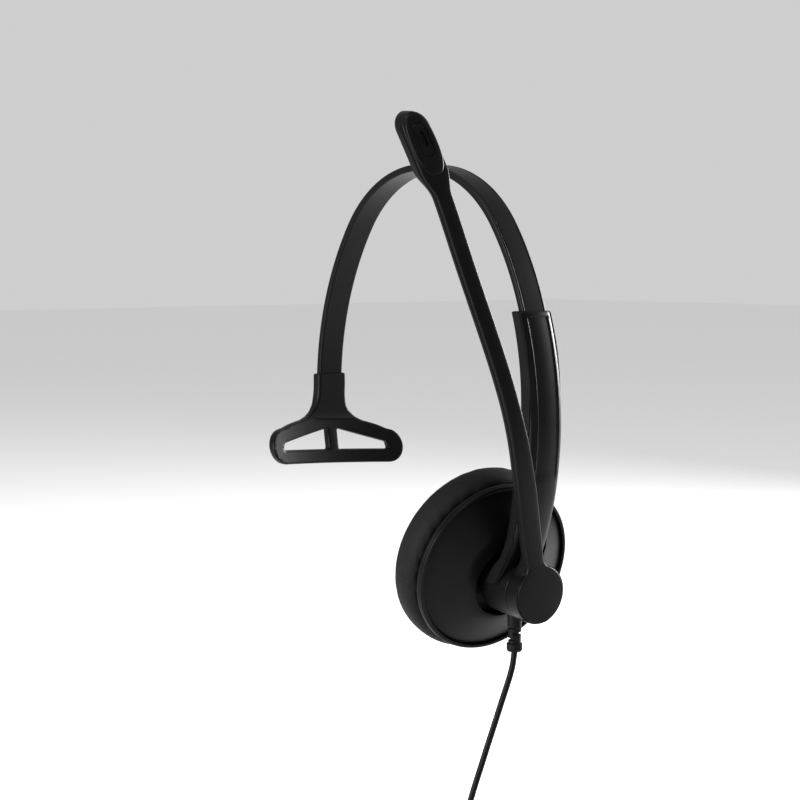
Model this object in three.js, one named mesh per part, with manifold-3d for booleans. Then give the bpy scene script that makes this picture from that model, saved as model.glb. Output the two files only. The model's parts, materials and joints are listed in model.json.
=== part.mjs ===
// A corded office headset with one ear cup, in millimetres.
// +X points out through the ear cup, -Y is the wearer's front, +Z is up.
// The origin lies under the top of the headband, level with the boom's pivot: the middle of the head.
import * as THREE from "three";
import { mergeVertices } from "three/addons/utils/BufferGeometryUtils.js";
import Module from "manifold-3d";

const wasm = await Module();
wasm.setup();

const degrees = THREE.MathUtils.degToRad;

// ---------------------------------------------------------------- driving sizes

const gap = 0.3; // between two pieces that touch

const band = {
  width: 10.5,
  thickness: 2.4,
  crownRadius: 48, // outer surface over the head
  sideRadius: 105.6, // outer surface down each side
  crownAngle: degrees(55), // from the top to where a side arc starts
  crownCentreZ: 96.6,
  restEndZ: 56, // inside the temple rest's collar
  armEndZ: 42, // inside the slider arm
  springWidth: 6,
  springThickness: 0.6,
};

const rest = {
  collarWidth: 12.8,
  collarTopZ: 68.5,
  thickness: 3.2,
  halfLength: 31,
  bottomZ: 35,
  endRadius: 6.4,
  barHeight: 5,
  strutWidth: 4.6,
  lean: 5, // how far the foot of the rest leans in
  wingRadius: 125, // the wings curve round the temple
  roll: degrees(3),
};

const arm = {
  width: 14,
  topZ: 94.5,
  wall: 1.5,
  outerRadius: 118, // the arm's outer face, seen from the front
  outerCentreX: -56.9,
  outerCentreZ: 57,
  recessWidth: 9.4,
  recessDepth: 0.7,
  recessFootZ: 38,
  coverFootX: 51.2, // the cover's inner face at its foot
};

const hub = {
  faceX: 57.8, // centre of the pivot's face, on the X axis
  radius: 10,
  capRadius: 10.15,
  length: 20.3,
  skirt: 6.5, // how much of the length turns with the boom
  wall: 1.5,
  tilt: degrees(5.6),
  yaw: degrees(-4.2),
};

const boom = {
  thickness: 3.1,
  cover: 0.9,
  lean: degrees(16), // forward of the arm as it rests
  rootHalfWidth: 4.1,
  halfWidth: 3.3,
  headHalfWidth: 5.5,
  headThickness: 4.8,
  headLength: 27.5, // from the start of its shoulders to the tip
  length: 162.5, // from the pivot to the tip
};

const cup = {
  rimRadius: 30.2,
  rimX: 34.1,
  rimZ: 6.4,
  coneHeight: 6.5,
  coneTopRadius: 15.8,
  recessRadius: 13.6,
  wall: 1.4,
  tilt: degrees(15.9),
  yaw: degrees(-6.5),
  cushionRadius: 31.8,
  cushionHole: 13.5,
  cushionThickness: 12.6,
};

const ball = {
  radius: 4,
  stemRadius: 1.8,
  reach: 4.2, // from the hub's inner end to the ball's centre
  linerRadius: 6.2,
  linerHalfLength: 2.4,
  socketWall: 1.1,
};

const cord = {
  diameter: 2.2,
  turns: 4, // the coil is a square bundle of this many turns each way
  pitch: 2.3,
  coilRadius: 18.3, // to the middle of the bundle
};

// ---------------------------------------------------------------- helpers

/** A geometry with nothing but its places, each shared place held once. */
function welded(geometry) {
  const bare = geometry.index ? geometry.toNonIndexed() : geometry.clone();
  for (const name of Object.keys(bare.attributes)) {
    if (name !== "position") bare.deleteAttribute(name);
  }
  return mergeVertices(bare, 1e-4);
}

/** A closed geometry as a solid that can be joined and cut. */
function solid(geometry) {
  const merged = welded(geometry);
  const mesh = new wasm.Mesh({
    numProp: 3,
    vertProperties: new Float32Array(merged.attributes.position.array),
    triVerts: new Uint32Array(merged.index.array),
  });
  return new wasm.Manifold(mesh);
}

/** A solid turned back into a three.js geometry. */
function geometryOf(manifold) {
  const mesh = manifold.getMesh();
  const geometry = new THREE.BufferGeometry();
  geometry.setAttribute("position", new THREE.BufferAttribute(mesh.vertProperties, 3));
  geometry.setIndex(new THREE.BufferAttribute(mesh.triVerts, 1));
  const flat = geometry.toNonIndexed();
  flat.computeVertexNormals();
  return flat;
}

/** An extruded shape centred on z = 0; a bevel rounds it without making it larger. */
function extrude(shape, depth, bevel = 0, curveSegments = 3) {
  const geometry = new THREE.ExtrudeGeometry(shape, {
    depth: depth - 2 * bevel,
    bevelEnabled: bevel > 0,
    bevelThickness: bevel,
    bevelSize: bevel,
    bevelOffset: -bevel,
    bevelSegments: 1,
    curveSegments,
  });
  return geometry.translate(0, 0, bevel - depth / 2);
}

/** A shape drawn as seen from the front (x, z), made `width` wide along Y. */
const acrossY = (shape, width, bevel, segments) =>
  extrude(shape, width, bevel, segments).rotateX(Math.PI / 2);

/** A shape drawn as seen along X (y, z), from x = low to x = high. */
const alongX = (shape, low, high, bevel, segments) =>
  extrude(shape, high - low, bevel, segments)
    .rotateX(Math.PI / 2)
    .rotateZ(Math.PI / 2)
    .translate((low + high) / 2, 0, 0);

/** A body turned about the X axis; the profile is a closed list of [x, radius]. */
function turned(profile, segments = 40) {
  const points = profile.map(([x, radius]) => new THREE.Vector2(radius, x));
  if (profile[0][1] > 0) points.push(points[0].clone());
  return new THREE.LatheGeometry(points, segments).rotateZ(-Math.PI / 2);
}

/** A cylinder along X from low to high. */
const rod = (radius, low, high, segments = 32) =>
  turned([[low, 0], [low, radius], [high, radius], [high, 0]], segments);

/** A ring along X with a hole. */
const ring = (inner, outer, low, high, segments = 40) =>
  turned([[low, inner], [low, outer], [high, outer], [high, inner]], segments);

/** A rounded rectangle in a drawing plane. */
function roundedRectangle(width, height, radius) {
  const x = width / 2;
  const y = height / 2;
  const shape = new THREE.Shape();
  shape.moveTo(-x + radius, -y);
  shape.absarc(x - radius, -y + radius, radius, -Math.PI / 2, 0, false);
  shape.absarc(x - radius, y - radius, radius, 0, Math.PI / 2, false);
  shape.absarc(-x + radius, y - radius, radius, Math.PI / 2, Math.PI, false);
  shape.absarc(-x + radius, -y + radius, radius, Math.PI, 1.5 * Math.PI, false);
  return shape;
}

/** Moves every vertex of a geometry by a function of its place. */
function warp(geometry, move) {
  const position = geometry.attributes.position;
  const point = new THREE.Vector3();
  for (let i = 0; i < position.count; i += 1) {
    point.fromBufferAttribute(position, i);
    move(point);
    position.setXYZ(i, point.x, point.y, point.z);
  }
  return geometry;
}

/** Halves the edges that span more than `longest` along an axis, so that a plate can bend. */
function splitLongEdges(geometry, axis, longest) {
  const merged = welded(geometry);
  const places = [];
  for (let i = 0; i < merged.attributes.position.count; i += 1) {
    places.push(new THREE.Vector3().fromBufferAttribute(merged.attributes.position, i));
  }
  let triangles = [];
  const index = merged.index.array;
  for (let i = 0; i < index.length; i += 3) {
    triangles.push([index[i], index[i + 1], index[i + 2]]);
  }
  let middles = new Map();
  const middle = (a, b) => {
    if (Math.abs(places[a][axis] - places[b][axis]) <= longest) return null;
    const key = `${Math.min(a, b)} ${Math.max(a, b)}`;
    if (!middles.has(key)) {
      middles.set(key, places.length);
      places.push(places[a].clone().add(places[b]).multiplyScalar(0.5));
    }
    return middles.get(key);
  };
  do {
    middles = new Map();
    triangles = triangles.flatMap(([a, b, c]) => splitTriangle(a, b, c, middle));
  } while (middles.size > 0);
  const result = new THREE.BufferGeometry().setFromPoints(places);
  result.setIndex(triangles.flat());
  return result;
}

/** One triangle cut at the middles of its long edges. */
function splitTriangle(a, b, c, middle) {
  const ab = middle(a, b);
  const bc = middle(b, c);
  const ca = middle(c, a);
  if (ab === null && bc === null && ca === null) return [[a, b, c]];
  if (ab !== null && bc !== null && ca !== null) {
    return [[a, ab, ca], [ab, b, bc], [ca, bc, c], [ab, bc, ca]];
  }
  if (ab === null || (ca !== null && bc === null)) return splitTriangle(b, c, a, middle);
  if (bc === null) return [[a, ab, c], [ab, b, c]];
  return [[ab, b, bc], [a, ab, c], [ab, bc, c]];
}

const finishes = {
  plastic: { color: 0x121212, roughness: 0.55, metalness: 0 },
  softPlastic: { color: 0x161616, roughness: 0.7, metalness: 0 },
  cloth: { color: 0x1b1b1b, roughness: 0.95, metalness: 0 },
  steel: { color: 0xb8b8b8, roughness: 0.3, metalness: 1 },
  brass: { color: 0xc9a553, roughness: 0.35, metalness: 1 },
  board: { color: 0x1f4a2c, roughness: 0.5, metalness: 0 },
  magnet: { color: 0x3c3c40, roughness: 0.4, metalness: 0.8 },
};

/** A named piece; `body` is a solid or a closed geometry. */
function piece(name, body, finish) {
  const geometry = body.isBufferGeometry ? body : geometryOf(body);
  const mesh = new THREE.Mesh(geometry, new THREE.MeshStandardMaterial(finishes[finish]));
  mesh.name = name;
  return mesh;
}

// ---------------------------------------------------------------- headband

const crownReach = (band.sideRadius - band.crownRadius) * Math.sin(band.crownAngle);
const sideCentreX = -crownReach; // the ear side's arc is struck from across the head
const sideCentreZ =
  band.crownCentreZ - (band.sideRadius - band.crownRadius) * Math.cos(band.crownAngle);

/** X of the ear side's arc at a height, `inset` inside the band's outer surface. */
const sideX = (z, inset = 0) =>
  sideCentreX + Math.sqrt((band.sideRadius - inset) ** 2 - (z - sideCentreZ) ** 2);

/** The band's outline from the front, between two depths under its outer surface. */
function bandOutline(outerInset, innerInset, restEndZ, armEndZ) {
  const sideStart = Math.PI / 2 - band.crownAngle;
  const shape = new THREE.Shape();
  const trace = (inset, forward) => {
    const side = band.sideRadius - inset;
    const crown = band.crownRadius - inset;
    const restEnd = Math.PI - Math.asin((restEndZ - sideCentreZ) / side);
    const armEnd = Math.asin((armEndZ - sideCentreZ) / side);
    const arcs = [
      [-sideCentreX, sideCentreZ, side, restEnd, Math.PI - sideStart],
      [0, band.crownCentreZ, crown, Math.PI - sideStart, sideStart],
      [sideCentreX, sideCentreZ, side, sideStart, armEnd],
    ];
    if (forward) arcs.forEach(([x, z, r, a, b]) => shape.absarc(x, z, r, a, b, true));
    else arcs.reverse().forEach(([x, z, r, a, b]) => shape.absarc(x, z, r, b, a, false));
  };
  trace(outerInset, true);
  trace(innerInset, false);
  return shape;
}

const bandSegments = 7; // each of the band's arcs is drawn with twice as many edges

function headband() {
  const springTop = (band.thickness - band.springThickness) / 2;
  const springFoot = springTop + band.springThickness;
  const tuck = 1; // the spring stops this far inside the sheath's ends
  const spring = acrossY(
    bandOutline(springTop, springFoot, band.restEndZ + tuck, band.armEndZ + tuck),
    band.springWidth, 0, bandSegments,
  );
  const channel = acrossY(
    bandOutline(springTop - gap / 2, springFoot + gap / 2, band.restEndZ - tuck, band.armEndZ - tuck),
    band.springWidth + gap, 0, bandSegments,
  );
  const sheath = acrossY(
    bandOutline(0, band.thickness, band.restEndZ, band.armEndZ), band.width, 0.5, bandSegments,
  );
  return [
    piece("headband_sheath", solid(sheath).subtract(solid(channel)), "softPlastic"),
    piece("headband_spring", spring, "steel"),
  ];
}

// ---------------------------------------------------------------- temple rest

/** The rest's outline across the head (y, z). */
function restOutline() {
  const collar = rest.collarWidth / 2;
  const tip = rest.halfLength;
  const wingZ = rest.bottomZ + 2 * rest.endRadius;
  const shape = new THREE.Shape();
  shape.moveTo(collar, rest.collarTopZ);
  shape.lineTo(collar, 62);
  shape.bezierCurveTo(collar, 55, 10, 51.5, 17, 50.2);
  shape.quadraticCurveTo(22, 49.2, tip - rest.endRadius, wingZ);
  shape.absarc(tip - rest.endRadius, rest.bottomZ + rest.endRadius, rest.endRadius,
    Math.PI / 2, -Math.PI / 2, true);
  shape.absarc(rest.endRadius - tip, rest.bottomZ + rest.endRadius, rest.endRadius,
    -Math.PI / 2, -1.5 * Math.PI, true);
  shape.quadraticCurveTo(-22, 49.2, -17, 50.2);
  shape.bezierCurveTo(-10, 51.5, -collar, 55, -collar, 62);
  shape.lineTo(-collar, rest.collarTopZ);
  shape.closePath();
  return shape;
}

/** One of the rest's two windows (y, z). */
function windowOutline() {
  const strut = rest.strutWidth / 2;
  const low = rest.bottomZ + rest.barHeight;
  const far = rest.halfLength - 6.5;
  const shape = new THREE.Shape();
  shape.moveTo(strut, low);
  shape.lineTo(far - 1, low);
  shape.quadraticCurveTo(far + 1, low, far, low + 2.4);
  shape.lineTo(strut, low + 7.8);
  shape.closePath();
  return shape;
}

function templeRest() {
  const faceX = -sideX(rest.collarTopZ - 4) + band.thickness / 2;
  const blank = solid(alongX(restOutline(), -rest.thickness / 2, rest.thickness / 2, 0.6, 5));
  const window = alongX(windowOutline(), -rest.thickness, rest.thickness);
  const flat = geometryOf(
    blank.subtract(solid(window)).subtract(solid(window.clone().rotateZ(Math.PI))),
  );
  const plate = splitLongEdges(splitLongEdges(flat, "y", 12), "z", 12);
  warp(plate, (p) => {
    const drop = Math.max(0, rest.collarTopZ - 7 - p.z);
    const reach = rest.collarTopZ - 7 - rest.bottomZ;
    p.x += rest.lean * (drop / reach) ** 1.5 + p.y ** 2 / (2 * rest.wingRadius);
    p.x += faceX;
  });
  plate.translate(0, 0, -rest.collarTopZ).rotateX(-rest.roll).translate(0, 0, rest.collarTopZ);
  const collarHeight = rest.collarTopZ - band.restEndZ + 2;
  const collarShape = roundedRectangle(2 * rest.thickness - 2, rest.collarWidth, 1.1);
  const collar = extrude(collarShape, collarHeight, 0.4)
    .translate(faceX, 0, rest.collarTopZ - collarHeight / 2);
  const socket = acrossY(
    bandOutline(-gap, band.thickness + gap, band.restEndZ - gap, 100), band.width + 2 * gap,
  );
  const body = solid(plate).add(solid(collar)).subtract(solid(socket));
  return [piece("temple_rest", body, "plastic")];
}

// ---------------------------------------------------------------- slider arm

/** X of the arm's outer face at a height. */
const armOuterX = (z) =>
  arm.outerCentreX + Math.sqrt(arm.outerRadius ** 2 - (z - arm.outerCentreZ) ** 2);

/** The arm from the front: outer face, foot on the hub, and the flare up the inner face. */
function armSideOutline() {
  const shape = new THREE.Shape();
  const innerInset = band.thickness + gap + arm.wall;
  const innerRadius = band.sideRadius - innerInset;
  const footZ = 31;
  const top = Math.asin((arm.topZ - arm.outerCentreZ) / arm.outerRadius);
  const foot = Math.asin((footZ - arm.outerCentreZ) / arm.outerRadius);
  shape.absarc(arm.outerCentreX, arm.outerCentreZ, arm.outerRadius, top, foot, true);
  shape.quadraticCurveTo(55.5, 20, 50.6, 10.5);
  shape.lineTo(48, 0);
  shape.lineTo(40, 0);
  shape.lineTo(45.5, 9.2);
  const innerFootZ = 40;
  shape.bezierCurveTo(48, 13, 49.2, 26, sideX(innerFootZ, innerInset), innerFootZ);
  shape.absarc(sideCentreX, sideCentreZ, innerRadius,
    Math.asin((innerFootZ - sideCentreZ) / innerRadius),
    Math.asin((arm.topZ - sideCentreZ) / innerRadius), false);
  shape.closePath();
  return shape;
}

/** The arm across the head: straight above, widening to the hub's width at its foot. */
function armFrontOutline() {
  const half = arm.width / 2;
  const foot = hub.radius - 0.6;
  const shape = new THREE.Shape();
  shape.moveTo(-half, arm.topZ + 1);
  shape.lineTo(-half, 40);
  shape.bezierCurveTo(-half, 26, -half - 0.6, 16, -foot, 3);
  shape.lineTo(-foot + 2, -3);
  shape.lineTo(foot - 2, -3);
  shape.lineTo(foot, 3);
  shape.bezierCurveTo(half + 0.6, 16, half, 26, half, 40);
  shape.lineTo(half, arm.topZ + 1);
  shape.closePath();
  return shape;
}

/** Everything of the arm outside the band's channel, as seen from the front. */
function beyondChannel(inset, footZ) {
  const radius = band.sideRadius - inset;
  const shape = new THREE.Shape();
  shape.absarc(sideCentreX, sideCentreZ, radius,
    Math.asin((arm.topZ + 3 - sideCentreZ) / radius),
    Math.asin((band.armEndZ - sideCentreZ) / radius), true);
  shape.lineTo(arm.coverFootX - inset, footZ);
  shape.lineTo(80, footZ);
  shape.lineTo(80, arm.topZ + 3);
  shape.closePath();
  return shape;
}

/** The shallow panel let into the arm's outer face, ending in a ramp. */
function recessOutline() {
  const radius = arm.outerRadius - arm.recessDepth;
  const shape = new THREE.Shape();
  const rim = 1.6;
  const high = Math.asin((arm.topZ - rim - arm.outerCentreZ) / radius);
  const low = Math.asin((arm.recessFootZ + 4 - arm.outerCentreZ) / radius);
  shape.absarc(arm.outerCentreX, arm.outerCentreZ, radius, high, low, true);
  shape.lineTo(armOuterX(arm.recessFootZ), arm.recessFootZ);
  shape.lineTo(70, arm.recessFootZ);
  shape.lineTo(70, arm.topZ - rim);
  shape.closePath();
  return shape;
}

/** Puts a geometry drawn about the hub's own axis (its face at x = 0) into the headset. */
function atHub(geometry) {
  return geometry.rotateY(hub.tilt).rotateZ(hub.yaw).translate(hub.faceX, 0, 0);
}

const seamX = -hub.skirt - gap; // outer end of the part of the hub that stays still
const innerX = -hub.length;
const reliefX = -14.1; // along the hub, where the cord leaves
const relief = { radius: 2.5, collar: 3.1, length: 12.6 };
const exit = new THREE.Vector3(reliefX, 0, 0)
  .applyEuler(new THREE.Euler(0, hub.tilt, hub.yaw, "ZYX"))
  .add(new THREE.Vector3(hub.faceX, 0, -hub.radius));

function sliderArm() {
  const whole = solid(acrossY(armSideOutline(), 2 * hub.radius))
    .intersect(solid(alongX(armFrontOutline(), 30, 75)));
  const channel = solid(acrossY(
    bandOutline(-gap, band.thickness + gap, 100, band.armEndZ - 2), band.width + 2 * gap,
  ));
  const outside = solid(acrossY(beyondChannel(-gap, 16), 30));
  const outsideWithGap = solid(acrossY(beyondChannel(-2 * gap, 16 + gap), 30));
  const recess = solid(acrossY(recessOutline(), arm.recessWidth));

  const hubBlank = solid(atHub(rod(hub.radius, innerX, seamX, 48)));
  const pivotRoom = solid(atHub(rod(hub.radius + 1, seamX, seamX + 20, 48)));
  const outerPocket = solid(atHub(rod(hub.radius - hub.wall, -8, seamX + 1)));
  const innerPocket = solid(atHub(rod(hub.radius - hub.wall, innerX - 3, -10)));
  const axleHole = solid(atHub(rod(2.3, -11, -7)));
  const reliefHole = solid(
    new THREE.CylinderGeometry(relief.radius + gap, relief.radius + gap, 9, 24).rotateX(Math.PI / 2),
  ).translate(exit.x, exit.y, exit.z);

  const housing = whole.subtract(channel).subtract(outside).add(hubBlank)
    .subtract(pivotRoom).subtract(outerPocket).subtract(innerPocket)
    .subtract(axleHole).subtract(reliefHole);
  const clearHub = solid(atHub(rod(hub.radius + gap, innerX - 1, seamX + 12, 48)));
  const cover = whole.intersect(outsideWithGap).subtract(recess).subtract(clearHub);
  return [
    piece("arm_housing", housing, "plastic"),
    piece("arm_cover", cover, "plastic"),
    piece("detent_spring", detentSpring(), "steel"),
  ];
}

/** A thin leaf in the foot of the arm's channel, under the band's end. */
function detentSpring() {
  const top = band.armEndZ - gap;
  const foot = band.armEndZ - 2 + gap;
  const x = sideX(top, band.thickness / 2);
  return new THREE.BoxGeometry(1.6, 6, top - foot).translate(x, 0, (top + foot) / 2);
}

// ---------------------------------------------------------------- pivot and boom

/** How far the boom stands out of the pivot's face, `s` along it: out, then in to the mouth. */
const boomLine = new THREE.SplineCurve([
  new THREE.Vector2(-12, 0),
  new THREE.Vector2(0, 0),
  new THREE.Vector2(20, 1.0),
  new THREE.Vector2(42, 2.6),
  new THREE.Vector2(60, 2.4),
  new THREE.Vector2(80, -1.0),
  new THREE.Vector2(112, -10),
  new THREE.Vector2(140, -18),
  new THREE.Vector2(170, -31),
]);

/** The boom's offset at s, found on the line by bisection. */
function boomOffset(s) {
  let low = 0;
  let high = 1;
  for (let i = 0; i < 24; i += 1) {
    const middle = (low + high) / 2;
    if (boomLine.getPoint(middle).x < s) low = middle;
    else high = middle;
  }
  return boomLine.getPoint(low).y;
}

const smooth = THREE.MathUtils.smoothstep;
const headStart = boom.length - boom.headLength;
const rootEnd = 70; // the root has thinned to the boom's width here
const shoulder = 9; // length over which the head widens

/** Half of the boom's width at s: a wide root, a slim middle and the head's shoulders. */
function boomHalfWidth(s) {
  const root = boom.rootHalfWidth + (boom.halfWidth - boom.rootHalfWidth) * smooth(s, 34, rootEnd);
  const neck = 0.5 * (1 - smooth(s, 8, 22));
  const head = boom.headHalfWidth - boom.halfWidth;
  return root - neck + head * smooth(s, headStart, headStart + shoulder);
}

/** The boom's outline in its own plane, s along y. */
function boomOutline(start, inset) {
  const radius = boom.headHalfWidth - inset;
  const centre = boom.length - boom.headHalfWidth;
  const shape = new THREE.Shape();
  const stops = [];
  for (let s = start; s < rootEnd; s += 10) stops.push(s);
  for (let s = headStart; s <= headStart + shoulder; s += shoulder / 3) stops.push(s);
  stops.forEach((s, i) => {
    const x = boomHalfWidth(s) - inset;
    if (i === 0) shape.moveTo(x, s);
    else shape.lineTo(x, s);
  });
  shape.absarc(0, centre, radius, 0, Math.PI, false);
  stops.reverse().forEach((s) => shape.lineTo(inset - boomHalfWidth(s), s));
  shape.closePath();
  return shape;
}

/** Bends a plate that lies on the pivot's face along the boom, and leans it forward. */
function alongBoom(geometry) {
  const plate = splitLongEdges(geometry, "z", 13);
  warp(plate, (p) => {
    p.x += p.z > hub.capRadius ? boomOffset(p.z) - boomOffset(hub.capRadius) : 0;
  });
  return atHub(plate.rotateX(boom.lean));
}

const headCentre = boom.length - boom.headHalfWidth - 3.4;

function boomArm() {
  const backTop = -boom.cover - gap;
  const blank = solid(alongX(boomOutline(9, 0), -boom.thickness, backTop, 0.45));
  const headBlock = solid(alongX(headOutline(0), -boom.headThickness, backTop, 0.6));
  const leadWay = solid(
    alongX(strip(0.8, -8, headCentre), -boom.thickness + 0.9, backTop + 1),
  );
  const capsuleRoom = solid(rod(3.3, -boom.headThickness + 1.2, 1)).translate(0, 0, headCentre);
  const plate = blank.add(headBlock).subtract(leadWay).subtract(capsuleRoom);
  const bent = alongBoom(geometryOf(plate));

  const skirt = turned([
    [-hub.skirt, hub.capRadius - 1.5], [-hub.skirt, hub.capRadius],
    [-1.5, hub.capRadius], [-1.5, 0], [-2.9, 0], [-2.9, hub.capRadius - 1.5],
  ], 48);
  const boss = ring(2.3, 6.4, -6.6, -2.5);
  const leadHole = rod(1.1, -4, 0).translate(0, 0, 7.4).rotateX(boom.lean);
  const hubPart = solid(atHub(skirt)).add(solid(atHub(boss)));
  const shell = solid(bent).add(hubPart)
    .subtract(solid(atHub(rod(hub.capRadius - 1.5, -8, -2.9))).subtract(solid(atHub(boss.clone()))))
    .subtract(solid(atHub(leadHole)));

  const slot = solid(alongX(roundedSlot(2.35 + gap, 10.4 + 2 * gap), -2, 2))
    .translate(0, 0, headCentre);
  const coverPlate = solid(alongX(boomOutline(hub.capRadius + gap, 0.15), -boom.cover, 0, 0.25))
    .subtract(slot);
  return [
    piece("boom_shell", shell, "plastic"),
    piece("boom_cover", alongBoom(geometryOf(coverPlate)), "plastic"),
    piece("mic_bezel", micBezel(), "plastic"),
    piece("mic_mesh", micMesh(), "steel"),
    piece("mic_capsule", micCapsule(), "steel"),
    piece("mic_lead", micLead(), "softPlastic"),
  ];
}

/** The head's own outline, thicker than the boom. */
function headOutline(inset) {
  const shape = new THREE.Shape();
  const radius = boom.headHalfWidth - inset;
  const centre = boom.length - boom.headHalfWidth;
  const foot = headStart + 5;
  shape.moveTo(boomHalfWidth(foot) - 0.5 - inset, foot);
  shape.lineTo(boomHalfWidth(foot + 3) - inset, foot + 3);
  shape.lineTo(radius, foot + 6);
  shape.absarc(0, centre, radius, 0, Math.PI, false);
  shape.lineTo(-radius, foot + 6);
  shape.lineTo(inset - boomHalfWidth(foot + 3), foot + 3);
  shape.lineTo(inset + 0.5 - boomHalfWidth(foot), foot);
  shape.closePath();
  return shape;
}

/** A straight strip along the boom. */
function strip(half, start, end) {
  const shape = new THREE.Shape();
  shape.moveTo(half, start);
  shape.lineTo(half, end);
  shape.lineTo(-half, end);
  shape.lineTo(-half, start);
  shape.closePath();
  return shape;
}

/** A slot with round ends, its long side along y. */
const roundedSlot = (half, length) => roundedRectangle(2 * half, length, half - 0.01);

function micBezel() {
  const shape = roundedSlot(2.35, 10.4);
  shape.holes.push(roundedSlot(0.95, 5.2));
  return alongBoom(alongX(shape, -boom.cover, -0.1, 0.15).translate(0, 0, headCentre));
}

const micMesh = () =>
  alongBoom(alongX(roundedSlot(1.6, 6.6), -boom.cover - gap - 0.35, -boom.cover - gap)
    .translate(0, 0, headCentre));

const micCapsule = () =>
  alongBoom(rod(3, -boom.headThickness + 1.5, -boom.cover - 3 * gap - 0.35, 28)
    .translate(0, 0, headCentre));

const micLead = () =>
  alongBoom(alongX(strip(0.5, 12, headCentre - 3.7),
    -boom.thickness + 1.1, -boom.cover - 2 * gap));

function pivot() {
  const cap = turned([
    [-boom.cover, 0], [-boom.cover, hub.capRadius - 0.15], [-0.5, hub.capRadius - 0.15],
    [-0.15, hub.capRadius - 0.35], [0, hub.capRadius - 0.8], [0, 0],
  ], 48);
  const axle = turned([
    [-11.3, 0], [-11.3, 2], [-3.2, 2], [-3.2, 0],
  ], 28);
  const washer = ring(2.6, 6.4, -7.7, -6.9, 28);
  const clip = ring(2.3, 4.2, -11, -10.3, 28);
  return [
    piece("pivot_cap", atHub(cap), "plastic"),
    piece("pivot_axle", atHub(axle), "steel"),
    piece("friction_washer", atHub(washer), "steel"),
    piece("retaining_clip", atHub(clip), "steel"),
  ];
}

// ---------------------------------------------------------------- ear cup

/** Puts a geometry drawn about the cup's axis (rim plane at x = 0) into the headset. */
function atCup(geometry) {
  return geometry.rotateY(cup.tilt).rotateZ(cup.yaw).translate(cup.rimX, 0, cup.rimZ);
}

const ballCentre = new THREE.Vector3(innerX - ball.reach, 0, 0)
  .applyEuler(new THREE.Euler(0, hub.tilt, hub.yaw, "ZYX"))
  .add(new THREE.Vector3(hub.faceX, 0, 0));

/** Moves something drawn about the cup's axis so that it centres on the ball instead. */
function atBall(geometry) {
  return geometry.rotateY(cup.tilt).rotateZ(cup.yaw)
    .translate(ballCentre.x, ballCentre.y, ballCentre.z);
}

/** A ball-shaped socket wall: round inside and cylindrical or round outside. */
function socketRing(innerRadius, outerRadius, half, roundOutside) {
  const steps = 4;
  const profile = [];
  for (let i = 0; i <= steps; i += 1) {
    const x = -half + (2 * half * i) / steps;
    profile.push([x, Math.sqrt(innerRadius ** 2 - x ** 2)]);
  }
  for (let i = steps; i >= 0; i -= 1) {
    const x = -half + (2 * half * i) / steps;
    profile.push([x, roundOutside ? Math.sqrt(outerRadius ** 2 - x ** 2) : outerRadius]);
  }
  return turned(profile.reverse(), 28);
}

function ballJoint() {
  const plate = rod(hub.radius - hub.wall - gap, innerX + 1, innerX + 2.4);
  const stem = rod(ball.stemRadius, innerX - ball.reach, innerX + 1.5);
  const sphere = new THREE.SphereGeometry(ball.radius, 18, 10).translate(innerX - ball.reach, 0, 0);
  const stud = solid(atHub(plate)).add(solid(atHub(stem))).add(solid(atHub(sphere)));
  const liner = socketRing(ball.radius + gap, ball.linerRadius, ball.linerHalfLength, true);
  return {
    stud: piece("ball_stud", stud, "plastic"),
    liner: piece("ball_liner", atBall(liner), "softPlastic"),
  };
}

const cupSegments = 44;
const screwTurns = [60, 180, 300].map(degrees);
const screwRadius = 22;

/** Puts something drawn about the X axis at one of the baffle's screws. */
const atScrew = (geometry, turn) => atCup(geometry.translate(0, 0, screwRadius).rotateX(turn));

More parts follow.
